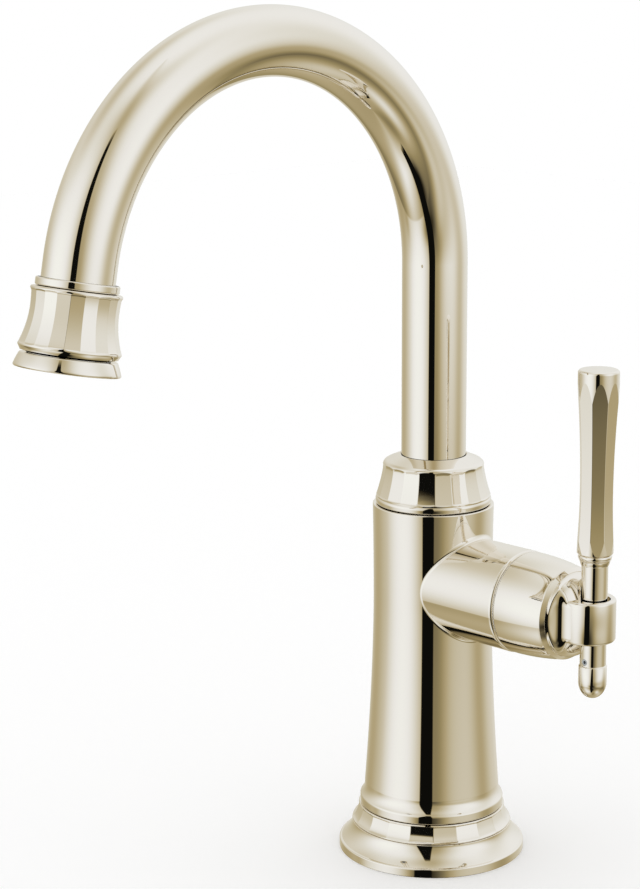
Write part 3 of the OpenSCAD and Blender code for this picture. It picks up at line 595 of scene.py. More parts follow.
def facetBand(sides, angles, blank, flat, low, high, rows=(4, 16, 6)):
    # the flats of a turned blank; where they run out through its surface, their ends come out as arcs
    half, fine = math.pi / sides, 600
    at = followBlank(blank)
    heights = spread(low, high, fine)
    spans = {}
    columns = []
    for angle in angles:
        side = round(angle / (2 * half))
        off = angle - side * 2 * half
        key = round(abs(off), 7)
        if key not in spans:
            inside = [z for z in heights if flat(z) / math.cos(off) < at(z)[0]] or [(low + high) / 2]
            ends = []
            for start, way in ((inside[0], -1), (inside[-1], 1)):
                a, b = start + way * (high - low) / fine, start
                for _ in range(30):
                    c = (a + b) / 2
                    a, b = (a, c) if flat(c) / math.cos(off) < at(c)[0] else (c, b)
                ends.append(min(max(b, low), high))
            spans[key] = ends
        z0, z1 = spans[key]
        steps = spread(low, z0, rows[0]) + spread(z0, z1, rows[1])[1:] + spread(z1, high, rows[2])[1:]
        columns.append((angle, off, half - abs(off) < 1e-6, steps))
    quads = []
    for a, b in zip(columns, columns[1:]):
        centre = (a[0] - a[1]) if not a[2] else (b[0] - b[1])
        for i in range(sum(rows)):
            isFlat = rows[0] <= i < rows[0] + rows[1]
            quad = []
            for (angle, _, corner, steps), k in ((a, i), (b, i), (b, i + 1), (a, i + 1)):
                z = steps[k]
                if isFlat:
                    r = flat(z) / math.cos(angle - centre)
                    facing = angle if corner else centre
                    normal = (math.cos(facing), math.sin(facing), -slopeOf(flat, z))
                else:
                    r, n = at(z)
                    normal = (n[0] * math.cos(angle), n[0] * math.sin(angle), n[1])
                quad.append(((r * math.cos(angle), r * math.sin(angle), z), normal))
            quads.append(quad)
    return quads


def moved(quads, matrix):
    # the same faces at another place
    turn = matrix.to_3x3()
    return [[(tuple(matrix @ Vector(p)), tuple(turn @ Vector(n))) for p, n in quad] for quad in quads]


def sizeOf(node):
    # lowest and highest corner of a CAD node, in mm
    low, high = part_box(node)
    return low / mm, high / mm


# places of the axes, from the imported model
joints = {j["name"]: j for j in frame["joints"]}
hubZ = joints["handle_turn"]["pos_m"][2] / mm
hubAxis = Matrix.Translation((0, 0, hubZ)) @ Matrix.Rotation(math.pi / 2, 4, "Y")
gripLow, gripHigh = sizeOf("lever_grip")
leverX = (gripLow.x + gripHigh.x) / 2
leverAxis = Matrix.Translation((leverX, 0, hubZ))
sheetAngles = [math.radians(2 * k) for k in range(-90, 91)]


# deck flange: upright rim, hollow top, and a groove for the gasket below
flangeSet = {
    "rimHeight": 2.8, "rimEdge": 0.4, "coveFoot": 0.8, "covePower": 1.9,
    "grooveIn": 19.7, "grooveOut": 25.9, "grooveDepth": 2.0,
    "recess": 17.1, "recessFloor": 3.8, "bore": 13.8,
}


def makeFlange():
    r, _, top = sizeOf("deck_flange")[1]
    ringR = sizeOf("base_ring")[1].x
    s = flangeSet
    outline = [(s["grooveOut"], 0), (r - 0.15, 0), (r, 0.15)]
    outline += bow(r - s["rimEdge"], s["rimHeight"] - s["rimEdge"], s["rimEdge"], 0, 70)
    outline += cove(r - s["coveFoot"], s["rimHeight"] + 0.1, ringR + 0.15, top - 0.1, s["covePower"], 28)
    outline += [(ringR + 0.05, top)] + stepped(s["recess"], top, s["recessFloor"], s["bore"], 0)
    outline += stepped(s["grooveIn"], 0, s["grooveDepth"], s["grooveOut"], 0)
    addPiece("deckFlange", "column", ["deck_flange"], spin(outline))


makeFlange()


# ring with 20 flats, flared towards the flange
ringSet = {
    "sides": 20, "lip": 0.4, "flare": 0.43, "bore": 17.1,
    "runOut": 0.7, "runOutBend": 1.3,  # where the flats run out at both ends, and how fast
}


def makeBaseRing():
    low, high = sizeOf("base_ring")
    footR, z0, z1 = high.x, low.z, high.z
    topR = sizeOf("body_column")[1].y + 0.3
    s = ringSet
    half, lip = math.pi / s["sides"], s["lip"]
    first, last = z0 + 1.4 * lip, z1 - 1.15 * lip

    def flat(z):
        # steep above, and flared towards the foot
        t = max(last - z, 0) / (last - first)
        corner = topR + (footR - 0.15 - topR) * ((1 - s["flare"]) * t + s["flare"] * t**4)
        over = max(z0 + s["runOut"] + 0.2 - z, 0, z - z1 + s["runOut"] + 0.1)
        return corner * math.cos(half) + s["runOutBend"] * over**2

    blank = [(footR, z0 + lip), (topR + 0.2, z1 - lip * 0.75)]
    angles = facetAngles(s["sides"], 0.05)
    quads = facetBand(s["sides"], angles, blank, flat, blank[0][1], blank[1][1])
    outline = [blank[1], (topR, z1)] + stepped(s["bore"], z1, z0)
    outline += bow(footR - lip, z0 + lip, lip, -90, 0, 6)
    addPiece("baseRing", "column", ["base_ring"], quads + spin(outline, angles))


makeBaseRing()
print("deck pieces made")


# column with its side neck
columnSet = {
    "footBand": 2.8, "footEdge": 0.35, "footCove": 4.3, "footStep": 0.1, "footPower": 2.8,
    "shaftFoot": 21.25, "waist": 18.55, "waistPower": 1.7, "waistDrop": 6.0,
    "topRadius": 18.85, "topEdge": 0.3,
    "neckRadius": 15.72, "neckEdge": 0.95, "neckStart": 24.0, "fillet": 1.5,
    "neckBore": 13.1, "neckFloor": 29.8, "chamber": 11.0, "chamberFloor": 14.0,  # floors count from the axis
    "footBore": 14.6, "footRecess": 17.0, "recessTop": 4.0,
    "glideSeat": 15.6, "glideDepth": 2.0, "socket": 12.0, "socketFloor": 90.0,
    "lockRadius": 1.65, "lockDrop": 4.6, "lockDepth": 6.2,  # grub screw at the back
    "sheetBelow": 22.0, "sheetAbove": 20.4,  # grid round the neck, from its axis
}


def makeColumn():
    s = columnSet
    reach, footR, top = sizeOf("body_column")[1]
    z0 = sizeOf("base_ring")[1].z + 0.1
    coveTop = z0 + s["footBand"] + s["footCove"]
    waistZ = hubZ - s["waistDrop"]

    def shaftR(z):
        if z < waistZ:
            rise = ((waistZ - z) / (waistZ - coveTop)) ** s["waistPower"]
            return s["waist"] + (s["shaftFoot"] - s["waist"]) * rise
        return s["waist"] + (s["topRadius"] - s["waist"]) * ((z - waistZ) / (top - waistZ)) ** 2

    shaft = turnedSurface(shaftR)
    # the fillet is the path of a ball that rolls round the neck and touches both surfaces
    ball, neckR = s["fillet"], s["neckRadius"]

    def rolled(t):
        # centre of the ball, and where it touches the shaft
        yc, zc = (neckR + ball) * math.cos(t), hubZ + (neckR + ball) * math.sin(t)
        slope = slopeOf(shaftR, zc)
        size = math.sqrt(1 + slope * slope)
        touch = zc + ball * slope / size
        rc = shaftR(touch) + ball / size
        xc = math.sqrt(rc * rc - yc * yc)
        return Vector((xc, yc, zc)), math.atan2(yc, xc), touch

    # the shaft is a sheet with two holes: for the neck, and for the grub screw that locks the spout
    sheetLow, sheetHigh = hubZ - s["sheetBelow"], top - s["topEdge"]
    neckHigh = hubZ + s["sheetAbove"]
    rows = spread(sheetLow, neckHigh, 30) + spread(neckHigh, sheetHigh, 2)[1:]
    neckHole = makeHole(0, 68, rows[0], rows[30], lambda t: rolled(t)[1:])
    lockZ = top - s["lockDrop"]
    lockR, back = shaftR(lockZ), math.pi / 2
    lockHole = makeHole(back, 12, rows[27], rows[32], roundRim(back, lockZ, s["lockRadius"], lockR))
    quads = cutSheet(sheetAngles, rows, shaft, [neckHole, lockHole])

    # neck: fillet, barrel and the chamber behind the hub
    turns = patchLoop(sheetAngles, rows, neckHole)[1]
    filletRows = [[] for _ in range(11)]
    for t in turns:
        centre, angle, touch = rolled(t)
        start = -Vector(shaft(angle, touch)[1])
        end = -Vector((0, math.cos(t), math.sin(t)))
        for i in range(10):
            d = start.slerp(end, i / 9)
            filletRows[i].append((tuple(centre + ball * d), tuple(-d)))
        foot = (s["neckStart"], neckR * math.cos(t), hubZ + neckR * math.sin(t))
        filletRows[10].append((foot, tuple(-end)))
    quads += weave(filletRows)
    edge = s["neckEdge"]
    neck = [(neckR, s["neckStart"])] + bow(neckR - edge, reach - edge, edge, 0, 90, 5)
    neck += stepped(s["neckBore"], reach, s["neckFloor"], s["chamber"], s["chamberFloor"], 0)
    # a hub-axis angle of 90 degrees more matches the loop's angle
    quads += moved(spin(neck, [t + math.pi / 2 for t in turns]), hubAxis)

    # foot below the sheet
    edge, bore, inner = s["footEdge"], s["footBore"], sheetLow - 4
    foot = bow(footR - edge, z0 + edge, edge, -90, 0, 6) + [(footR, z0 + s["footBand"] - 0.3)]
    foot += cove(footR - s["footStep"], z0 + s["footBand"], s["shaftFoot"], coveTop, s["footPower"], 24)
    foot += [(shaftR(z), z) for z in spread(coveTop, sheetLow, 40)[1:]]
    inside = [(0, inner), (bore - 0.4, inner)] + stepped(bore, z0 + 10, s["recessTop"], s["footRecess"], z0)
    quads += spin(inside + foot, sheetAngles)

    # top edge with the socket of the spout
    edge, topR = s["topEdge"], shaftR(sheetHigh)
    crown = [(topR, sheetHigh)] + bow(topR - edge, top - edge, edge, 8, 90, 4)
    crown += stepped(s["glideSeat"], top, top - s["glideDepth"], s["socket"], s["socketFloor"], 0)
    quads += spin(crown, sheetAngles)
    quads += drilled(sheetAngles, rows, shaft, lockHole, lockR, lockZ, s["lockDepth"])
    addPiece("bodyColumn", "column", ["body_column"], quads)


makeColumn()
print("column made")


# spout: the tube with its gooseneck
tubeSet = {
    "wall": 1.2, "bend": 69.0, "sweep": 169.0,  # radius and angle of the bend's centre line
    "round": 128, "bendSteps": 120,  # faces round the tube and along the bend
    "sleeve": 10.05,  # bore of what sits on the tube
}


def spoutPath():
    # stations along the tube's centre line: (point, direction of flow)
    low, high = sizeOf("spout_tube")
    bend, sweep, steps = tubeSet["bend"], math.radians(tubeSet["sweep"]), tubeSet["bendSteps"]
    bendZ = high.z - bend - (high.x - low.x) / 2
    up = Vector((0, 0, 1))
    stations = [(up * low.z, up), (up * (sizeOf("spout_collar")[1].z + 2), up)]
    for a in spread(0, sweep, steps):
        point = Vector((0, bend * (math.cos(a) - 1), bendZ + bend * math.sin(a)))
        stations.append((point, Vector((0, -math.sin(a), math.cos(a)))))
    return stations


stations = spoutPath()
outletAxis = Matrix.Translation(stations[-1][0]) @ Matrix.Rotation(math.radians(tubeSet["sweep"]), 4, "X")
outletSet = {
    "lengths": (4.6, 2.2, 0.2, 17.2, 0.65, 3.95),  # along the flow: tail, ring, seam, bell, seam, mouth ring
    "tubeReach": 6.4,  # how far the tube runs into the bell
}
lengths = outletSet["lengths"]
ringFrom, ringTo, bellFrom, bellTo, mouthFrom, mouthTo = [sum(lengths[: i + 1]) for i in range(6)]


def makeTube():
    low, high = sizeOf("spout_tube")
    r, n = (high.x - low.x) / 2, tubeSet["round"]
    bore = r - tubeSet["wall"]
    bendEnd, flowEnd = stations[-1]
    path = stations + [(bendEnd + flowEnd * (bellFrom + outletSet["tubeReach"]), flowEnd)]

    def row(station, radius, facing):
        # a ring of corners that face outwards (1), inwards (-1) or along the flow (0)
        centre, flow = station
        side = Vector((1, 0, 0))
        up = flow.cross(side)
        result = []
        for k in range(n + 1):
            a = 2 * math.pi * k / n
            d = side * math.cos(a) + up * math.sin(a)
            result.append((tuple(centre + d * radius), tuple(d * facing if facing else flow)))
        return result

    quads = weave([row(station, r, 1) for station in path])
    quads += weave([row(station, bore, -1) for station in reversed(path)])
    quads += weave([row(path[-1], size, 0) for size in (r, bore)])
    quads += weave([[(p, (0, 0, -1)) for p, _ in row(path[0], size, 0)] for size in (bore, r)])
    addPiece("spoutTube", "spout", ["spout_tube"], quads)


makeTube()


# collar with 20 flats between a bead and a domed shoulder
collarSet = {
    "sides": 20, "sink": 0.2, "bead": 2.5, "shoulder": 15.6, "dome": 3.5, "flatPower": 1.4,
    "footBend": 0.9, "shoulderLean": 0.25,  # how fast the flats run out at the bead and at the shoulder
    "bore": 12.5, "socket": 6.0,  # the bore is closed to the tube's own size this far below the top
}


def makeCollar():
    low, high = sizeOf("spout_collar")
    s = collarSet
    z0, z1, r = low.z - s["sink"], high.z, high.x
    half, bead = math.pi / s["sides"], s["bead"]
    flatZ, flatR = z0 + bead, r - 0.3
    shoulderR, shoulderZ = s["shoulder"], z1 - s["dome"]
    curve = cove(flatR - 0.05, flatZ + 0.4, shoulderR, shoulderZ, s["flatPower"], 24)
    corner = followBlank(curve)

    def flat(z):
        under = max(flatZ + 0.4 - z, 0)
        over = max(z - shoulderZ, 0)
        slope = (curve[0][0] - curve[1][0]) / (curve[1][1] - curve[0][1])
        base = corner(min(max(z, curve[0][1]), shoulderZ))[0] + under * slope
        return base * math.cos(half) + s["footBend"] * under**2 + s["shoulderLean"] * over

    foot = bow(r - 0.45, z0 + 0.4, 0.4, -90, -25, 5)
    foot += bow(r - bead / 2, z0 + bead / 2, bead / 2, -8, 40, 8)
    blank = [foot[-1], (flatR + 0.1, flatZ + 0.3), (shoulderR + 0.25, shoulderZ - 0.4)]
    blank += bow(shoulderR - 1.85, shoulderZ, 2, 12, 65, 10, 1.8)
    angles = facetAngles(s["sides"], 0.06)
    quads = facetBand(s["sides"], angles, blank, flat, blank[0][1], blank[-1][1], (4, 20, 8))
    sleeve, lip = tubeSet["sleeve"], tubeSet["sleeve"] + 0.25
    outline = [blank[-1], (lip + 0.1, z1 - 0.1)]
    outline += stepped(lip, z1 - 0.1, z1 - 1.2, sleeve, z1 - s["socket"], s["bore"], z0) + foot
    addPiece("spoutCollar", "spout", ["spout_collar"], quads + spin(outline, angles))


makeCollar()


# narrow ring above the bell, relieved at its upper edge
neckRingSet = {"radius": 11.3, "edge": 0.4, "slot": 1.0}


def makeNeckRing():
    s, sleeve = neckRingSet, tubeSet["sleeve"]
    e, r = s["edge"], s["radius"]
    slotR, slotEnd = r - e - 0.1, ringFrom + s["slot"]
    outline = [(sleeve, slotEnd)] + stepped(slotR, slotEnd, ringFrom)
    outline += bow(r - e, ringFrom + e, e, -90, 0, 6) + bow(r - e, ringTo - e, e, 0, 90, 6)
    outline += stepped(sleeve, ringTo, slotEnd)
    addPiece("outletNeckRing", "spout", ["outlet_neck_ring"], spin(outline), outletAxis)


makeNeckRing()


# bell with hollow flats, whose corners flare towards the lip
bellSet = {
    "sides": 20, "waist": 11.9, "lip": 13.9, "lipHeight": 1.4,
    "waistAt": 0.3, "lipRise": 0.6,  # shares of its height
    "topFlare": 0.35, "flatBend": 1.1,
    "bore": 11.2, "boreFrom": 10.0,  # counted from its top
}


def makeBell():
    s, sleeve = bellSet, tubeSet["sleeve"]
    waist, lip, bore, boreFrom = s["waist"], s["lip"], s["bore"], bellFrom + s["boreFrom"]
    h, half, waistAt = bellTo - bellFrom, math.pi / s["sides"], s["waistAt"]

    def cornerR(t):
        if t < waistAt:
            return waist + s["topFlare"] * ((waistAt - t) / waistAt) ** 2
        return waist + (lip - waist) * ((t - waistAt) / s["lipRise"]) ** 2

    def flat(z):
        t = (z - bellFrom) / h
        over = max(0.075 - t, 0, t - 0.885) * h
        return cornerR(min(t, 0.92)) * math.cos(half) + s["flatBend"] * over**2

    topR = cornerR(0)
    head = bow(topR - 0.5, bellFrom + 0.6, 0.6, -60, 0, 8)
    lipBow = bow(lip - 0.7, bellTo - s["lipHeight"], 0.7, -20, 20, 6)
    # below the lip the blank is a straight cone, which the flats hollow out
    blank = [head[-1], (topR + 0.1, bellFrom + 0.1 * h)] + lipBow[:4]
    angles = facetAngles(s["sides"], 0.03)
    quads = facetBand(s["sides"], angles, blank, flat, blank[0][1], lipBow[3][1], (4, 26, 6))
    # the underside meets the ring at the mouth, and the top meets the ring above
    outline = lipBow[3:] + [(lip - 0.6, bellTo - 0.3), (lip - 0.7, bellTo)]
    outline += stepped(bore, mouthFrom - 0.05, boreFrom, sleeve, ringTo + 0.02)
    outline += [(topR - 0.5, bellFrom)] + head
    addPiece("outletBell", "spout", ["outlet_bell"], quads + spin(outline, angles), outletAxis)


makeBell()


# flared ring at the mouth, which reaches up inside the bell
mouthRingSet = {
    "radius": 14.5, "edge": 0.5, "bore": 9.2,
    "insert": 11.1, "insertBore": 10.0, "insertReach": 5.0,  # its part inside the bell
}


def makeMouthRing():
    s = mouthRingSet
    e, r, lip, lipTop = s["edge"], s["radius"], s["bore"], mouthTo - 1.2
    insert, bore, insertTop = s["insert"], s["insertBore"], mouthFrom - s["insertReach"]
    outline = stepped(insert, insertTop, mouthFrom, r - 1.4)
    outline += cove(r - 1.25, mouthFrom + 0.15, r, mouthTo - e, 1.2, 12)
    outline += bow(r - e, mouthTo - e, e, 20, 90, 6)
    outline += stepped(lip, mouthTo, lipTop, bore, insertTop, insert)
    addPiece("aeratorRing", "spout", ["aerator_ring"], spin(outline), outletAxis)


makeMouthRing()
print("spout made")


# handle: the hub with its eye
hubSet = {
    "startRound": 0.55, "swell": 2.1, "rim": 14.0, "rimToEye": 6.3,  # barrel
    "bandFrom": 0.8, "bandReach": 1.15, "bandRadius": 12.93, "bandHollow": 0.008, "rimRound": 0.1,
    "hollow": 13.45, "hollowFrom": 12.6, "stemBore": 4.05, "stemFrom": 1.9,  # inside, counted from the rim
    "screw": 2.05, "screwFrom": 5.9, "screwPatch": 3.6, "screwDepth": 10.5,
    "dome": 12.85, "domeLength": 6.8, "finSide": 7.5,  # round end, and where its sides are sliced
    "eyeRadius": 8.1, "eyeEdge": 0.9, "eyeTop": 6.45, "mouth": 4.9, "mouthDepth": 1.2, "bore": 4.0,
    "webHollow": 6.0, "webStart": 17.5, "webTurn": 2.0, "webFlat": 4.6, "webBlend": 2.2,  # angles in degrees
}
hubLow, hubHigh = sizeOf("handle_hub")
eyeX = hubHigh.x - hubSet["eyeRadius"]
rimX = eyeX - hubSet["rimToEye"]
bandX = rimX - hubSet["bandFrom"]
faceX = bandX + hubSet["bandReach"]
hubPlace = Matrix.Translation((0, 0, hubZ))


def hubBarrel():
    # barrel with the hole of its grub screw, the band round its rim, and the space inside
    s = hubSet
    r0, r1, first, last = hubHigh.y, s["rim"], hubLow.x + s["startRound"], bandX

    def barrelR(x):
        t = min(max((x - first) / (last - first), 0), 1)
        return r0 - (r0 - r1) * t ** s["swell"]

    barrel = turnedSurface(barrelR)
    rows = spread(first, last, 24)
    screwX = rimX - s["screwFrom"]
    screwR = barrelR(screwX)
    near = [v for v in rows if abs(v - screwX) < s["screwPatch"]]
    hole = makeHole(0, 14, near[0], near[-1], roundRim(0, screwX, s["screw"], screwR))
    quads = cutSheet(sheetAngles, rows, barrel, [hole])
    quads += drilled(sheetAngles, rows, barrel, hole, screwR, screwX, s["screwDepth"])

    # the start's round edge and the inside, then a sloping band, very slightly hollow, and the end face
    hollowX, stemX = rimX - s["hollowFrom"], rimX - s["stemFrom"]
    start = [(0, stemX)] + stepped(s["stemBore"], stemX, hollowX, s["hollow"], hubLow.x)
    start += bow(r0 - s["startRound"], first, s["startRound"], -90, -4, 6)
    edge = s["rimRound"]
    end = [(barrelR(last), last)] + bow(r1 - edge, last, edge, 8, 34, 3)
    a, b = Vector(end[-1]), Vector((s["bandRadius"], faceX))
    inward = Vector((a.y - b.y, b.x - a.x)).normalized() * 4 * s["bandHollow"]
    end += [tuple(a + (b - a) * i / 8 + inward * i / 8 * (1 - i / 8)) for i in range(1, 9)]
    end += [(0, faceX)]
    quads += spin(start, sheetAngles) + spin(end, sheetAngles)
    return moved(quads, hubAxis)


def hubEye():
    # eye with its off-centre bore for the lever
    s = hubSet
    top, edge = s["eyeTop"], s["eyeEdge"]
    side, floor = s["eyeRadius"] - edge, top - s["mouthDepth"]
    outline = bow(side, edge - top, edge, -90, 0, 10) + bow(side, top - edge, edge, 0, 90, 10)
    bore = stepped(s["mouth"], top, floor, s["bore"], -top)
    shifts = [0] * len(outline) + [leverX - eyeX] * len(bore) + [0]
    return moved(spin(outline + bore + [outline[0]], fullTurn, shifts), Matrix.Translation((eyeX, 0, hubZ)))


def hubDome():
    # round end on the face, sliced at both sides and cut back to the bore round the lever
    s = hubSet
    dome, length, wide, top = s["dome"], s["domeLength"], s["finSide"], s["eyeTop"]

    def reach(y, cutR):
        # how far the dome runs at this y, and whether the cut round the lever ends it
        free = faceX + length * math.sqrt(1 - (y * y + (top - 0.1) ** 2) / dome**2)
        cut = leverX - math.sqrt(cutR**2 - y * y) if abs(y) < cutR else free + 1
        return min(free, cut), cut <= free

    quads = []
    for sign, cutR in ((1, s["mouth"]), (-1, s["bore"])):
        a, b = 0, cutR
        for _ in range(40):
            c = (a + b) / 2
            a, b = (c, b) if reach(c, cutR)[1] else (a, c)
        ys = spread(0, a, 12) + spread(a, wide, 8)[1:]
        ys = [-y for y in reversed(ys[1:])] + ys
        columns = []
        for y in ys:
            column = []
            for x in spread(faceX - 0.1, reach(y, cutR)[0], 18):
                z = math.sqrt(max(dome**2 * (1 - (max(x - faceX, 0) / length) ** 2) - y * y, 0))
                n = Vector(((x - faceX) / length**2, y / dome**2, z / dome**2 * sign)).normalized()
                column.append(((x, y, z * sign), tuple(n)))
            columns.append(column)
        quads += weave(columns)
        for column, y in ((columns[0], ys[0]), (columns[-1], ys[-1])):
            side = [(p, (0, y, 0)) for p, _ in column]
            quads += weave([side, [((p[0], p[1], 0), n) for p, n in side]])
        cutEdge = [column[-1][0] for column, y in zip(columns, ys) if abs(y) <= a + 1e-6]
        wall = [((x, y, z), (leverX - x, -y, 0)) for x, y, z in cutEdge]
        floor = sign * (top - s["mouthDepth"] - 0.1)
        quads += weave([wall, [((p[0], p[1], floor), n) for p, n in wall]])
    return moved(quads, hubPlace)


def webOutline():
    # one side of the plan of the webs: a sloped start, then a hollow that runs out along the eye
    s = hubSet
    hollow, turn = s["webHollow"], math.radians(s["webTurn"])
    away = s["eyeRadius"] + hollow
    fx, fy = eyeX + away * math.sin(turn), away * math.cos(turn)
    turns = spread(math.radians(s["webStart"]), math.pi / 2 - turn, 24)
    arc = [(fx - hollow * math.cos(a), fy - hollow * math.sin(a)) for a in turns]
    arcX, arcY = arc[0]
    start = zip(spread(faceX - 0.1, arcX, 6), spread(s["dome"] + 0.08, arcY, 6))
    return list(start)[:-1] + arc, arcY


def hubWebs():
    # the round end is drawn in to a bar with rounded edges, hollow in plan, that runs out along the eye
    s, steps = hubSet, 20
    straight = 0.4  # share of each half height below the rounded edge
    outline, arcY = webOutline()
    dome, length, wide, flatHeight = s["dome"], s["domeLength"], s["finSide"], s["webFlat"]
    opening = math.acos(wide / dome)

    def section(x, y, v):
        # y and z of the skin at a point of the plan; v runs from 0 at mid height to 1 at the dome's edge
        share = min(max((x - faceX) / s["webBlend"], 0), 1)
        share = share * share * (3 - 2 * share)
        domeR = dome * math.sqrt(1 - (max(x - faceX, 0) / length) ** 2) if x - faceX < length else 0
        edge = max(math.sqrt(max(domeR**2 - wide**2, 0)), s["eyeTop"] - 0.3)
        start = max(y, arcY)
        around = start + (max(domeR, start) - start) * v * v
        t = max(v - straight, 0) / (1 - straight) * math.pi / 2
        barY = wide + (y - wide) * math.cos(t)
        barZ = flatHeight * min(v / straight, 1) + (edge - flatHeight) * math.sin(t)
        ringY, ringZ = around * math.cos(v * opening), around * math.sin(v * opening)
        return ringY + (barY - ringY) * share, ringZ + (barZ - ringZ) * share

    grid = []
    for x, y in outline:
        row = []
        for i in range(-steps, steps + 1):
            across, z = section(x, y, abs(i) / steps)
            row.append(Vector((x, across, math.copysign(z, i))))
        grid.append(row)
    quads = []
    for sign in (1, -1):
        rows = []
        for i, row in enumerate(grid):
            rows.append([])
            for k, point in enumerate(row):
                along = grid[min(i + 1, len(grid) - 1)][k] - grid[max(i - 1, 0)][k]
                up = row[min(k + 1, len(row) - 1)] - row[max(k - 1, 0)]
                n = up.cross(along).normalized()
                rows[-1].append(((point.x, point.y * sign, point.z), (n.x, n.y * sign, n.z)))
        quads += weave(rows)
    return moved(quads, hubPlace)


def makeHub():
    quads = hubBarrel() + hubEye() + hubDome() + hubWebs()
    addPiece("handleHub", "handle", ["handle_hub"], quads)


makeHub()


# lever: heights on its axis count from the eye's centre
eyeFoot = -hubSet["eyeTop"]
gripFoot, gripTop = gripLow.z - hubZ, gripHigh.z - hubZ
gripLength = gripTop - gripFoot
ferruleFoot = sizeOf("grip_ferrule")[0].z - hubZ


# stem through the eye, with the studs that carry the grip and the finial
stemSet = {
    "radius": 3.95, "stud": 2.4, "studReach": 11.0,
    "core": 3.2, "coreTo": 0.7,  # its part in the grip, and how much of the grip's length it takes
}


def makeStem():
    s = stemSet
    studEnd, coreEnd = eyeFoot - s["studReach"], gripFoot + gripLength * s["coreTo"]
    outline = [(0, studEnd)] + stepped(s["stud"], studEnd, eyeFoot, s["radius"], ferruleFoot)
    outline += stepped(s["core"], ferruleFoot, coreEnd, 0)
    addPiece("leverStem", "handle", ["lever_stem"], spin(outline), leverAxis)


makeStem()


# hollow neck with a bead under the grip
ferruleSet = {"radius": 5.0, "bead": 0.9, "bore": 3.3}


def makeFerrule():
    s, stemR = ferruleSet, stemSet["radius"]
    bead, r, bore = s["bead"], s["radius"], s["bore"]
    outline = [(bore, ferruleFoot), (stemR + 0.15, ferruleFoot)]
    outline += cove(stemR + 0.3, ferruleFoot + 0.3, r - 0.2, gripFoot - 2 * bead, 0.6, 10)
    outline += bow(r - bead, gripFoot - bead, bead, -60, 60, 12) + [(bore, gripFoot), (bore, ferruleFoot)]
    addPiece("gripFerrule", "handle", ["grip_ferrule"], spin(outline), leverAxis)


makeFerrule()


# grip with flats and round ends, narrowest a third of the way up
gripSet = {
    "sides": 8, "radius": 6.05, "waist": 4.65, "head": 0.9,
    "footFlare": 0.5, "flareLength": 0.6,  # shares of the widening at the head, and of the grip's length
}


def makeGrip():
    s, length, r, waist = gripSet, gripLength, gripSet["radius"], gripSet["waist"]

    def flat(z):
        z -= gripFoot
        third, extra = length / 3, r - waist
        if z < third:
            return waist + extra * s["footFlare"] * (1 - z / third) ** 2
        return waist + extra * ((z - third) / (length * s["flareLength"])) ** 2

    footR, head, bore = ferruleSet["radius"] + 0.35, s["head"], stemSet["core"] + 0.05
    crown = bow(r - head, gripTop - head - 0.3, head, 0, 75, 10)
    blank = [(footR, gripFoot + 0.25), (r, gripFoot + length * 0.55), crown[0]]
    angles = facetAngles(s["sides"], 0.04, 16)
    quads = facetBand(s["sides"], angles, blank, flat, blank[0][1], blank[-1][1], (3, 40, 4))
    quads += spin(crown + [(0, gripTop)], angles)
    coreEnd = gripFoot + length * (stemSet["coreTo"] + 0.01)
    outline = [(0, coreEnd)] + stepped(bore, coreEnd, gripFoot, footR - 0.25) + [blank[0]]
    quads += spin(outline, angles)
    addPiece("leverGrip", "handle", ["lever_grip"], quads, leverAxis)


makeGrip()


# finial below the eye, with the hole of its grub screw
finialSet = {
    "radius": 4.2, "end": 5.0, "stepDrop": 7.35, "stepSize": 0.3, "bore": 2.45,
    "screw": 1.0, "screwDrop": 5.9, "screwPatch": 1.25, "screwDepth": 1.7,
}


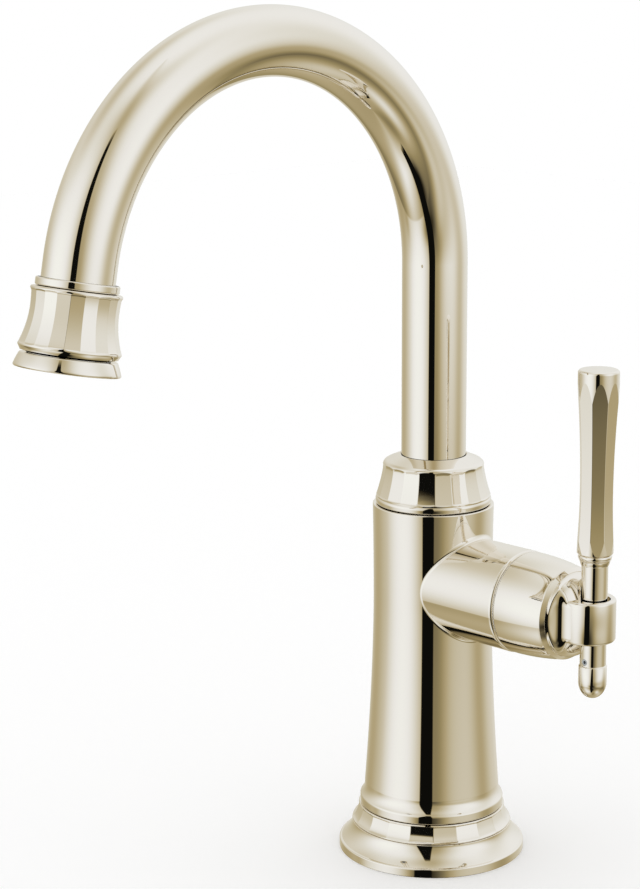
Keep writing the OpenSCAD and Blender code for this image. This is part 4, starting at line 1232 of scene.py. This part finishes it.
def makeFinial():
    s = finialSet
    foot = sizeOf("lever_finial")[0].z - hubZ
    r, endH, bore, patch = s["radius"], s["end"], s["bore"], s["screwPatch"]
    screwZ, step, neckR = eyeFoot - s["screwDrop"], eyeFoot - s["stepDrop"], r - s["stepSize"]
    side = [(r, foot + endH), (r, step - 0.4), (r - 0.1, step - 0.15), (neckR, step + 0.05)]
    side += [(neckR, eyeFoot - 0.5)]
    at = followBlank(side)

    def skin(angle, z):
        size, n = at(z)
        c, t = math.cos(angle), math.sin(angle)
        return (size * c, size * t, z), (n[0] * c, n[0] * t, n[1])

    angles = [math.radians(5 * k) for k in range(-36, 37)]
    rows = [z for _, z in side[:4]] + [screwZ + d for d in (-patch, -0.9, -0.5, 0.5, 0.9, patch)]
    rows += [side[-1][1]]
    front, screwR = math.radians(-90), r - 0.1
    screwRim = roundRim(front, screwZ, s["screw"], screwR)
    hole = makeHole(front, 25, screwZ - patch, screwZ + patch, screwRim)
    quads = cutSheet(angles, rows, skin, [hole])
    quads += drilled(angles, rows, skin, hole, screwR, screwZ, s["screwDepth"])
    quads += spin([(0, foot)] + bow(0, foot + endH, r, -88, 0, 20, endH), angles)
    boreTop, boreEnd = eyeFoot - 0.02, eyeFoot - stemSet["studReach"] - 0.9
    outline = [side[-1], (r - 0.7, boreTop)] + stepped(bore, boreTop, boreEnd, 0)
    quads += spin(outline, angles)
    addPiece("leverFinial", "handle", ["lever_finial"], quads, leverAxis)


makeFinial()
print("handle made")


# floor
floorSet = {"colour": "#FFFFFF", "half": 1600.0}  # mm from its middle to a side


def makeFloor():
    material, tree, shader = newMaterial("pale floor")
    shader.inputs["Base Color"].default_value = toLinear(floorSet["colour"])
    shader.inputs["Roughness"].default_value = 1.0
    shader.inputs["Specular IOR Level"].default_value = 0.0
    # the metal sees the room of the world through the floor, so that its reflections keep one horizon
    ray = addNode(tree, "ShaderNodeLightPath")
    clear = addNode(tree, "ShaderNodeBsdfTransparent")
    links = {0: ray.outputs["Is Glossy Ray"], 1: shader.outputs[0], 2: clear.outputs[0]}
    either = addNode(tree, "ShaderNodeMixShader", links=links)
    tree.links.new(either.outputs[0], tree.nodes["Material Output"].inputs["Surface"])
    mesh = bpy.data.meshes.new("floor")
    size = floorSet["half"] * mm
    corners = [(-size, -size, 0), (size, -size, 0), (size, size, 0), (-size, size, 0)]
    mesh.from_pydata(corners, [], [(0, 1, 2, 3)])
    mesh.materials.append(material)
    floor = bpy.data.objects.new("floor", mesh)
    scene.collection.objects.link(floor)


makeFloor()

scene.view_settings.view_transform = "Standard"
print("scene ready")
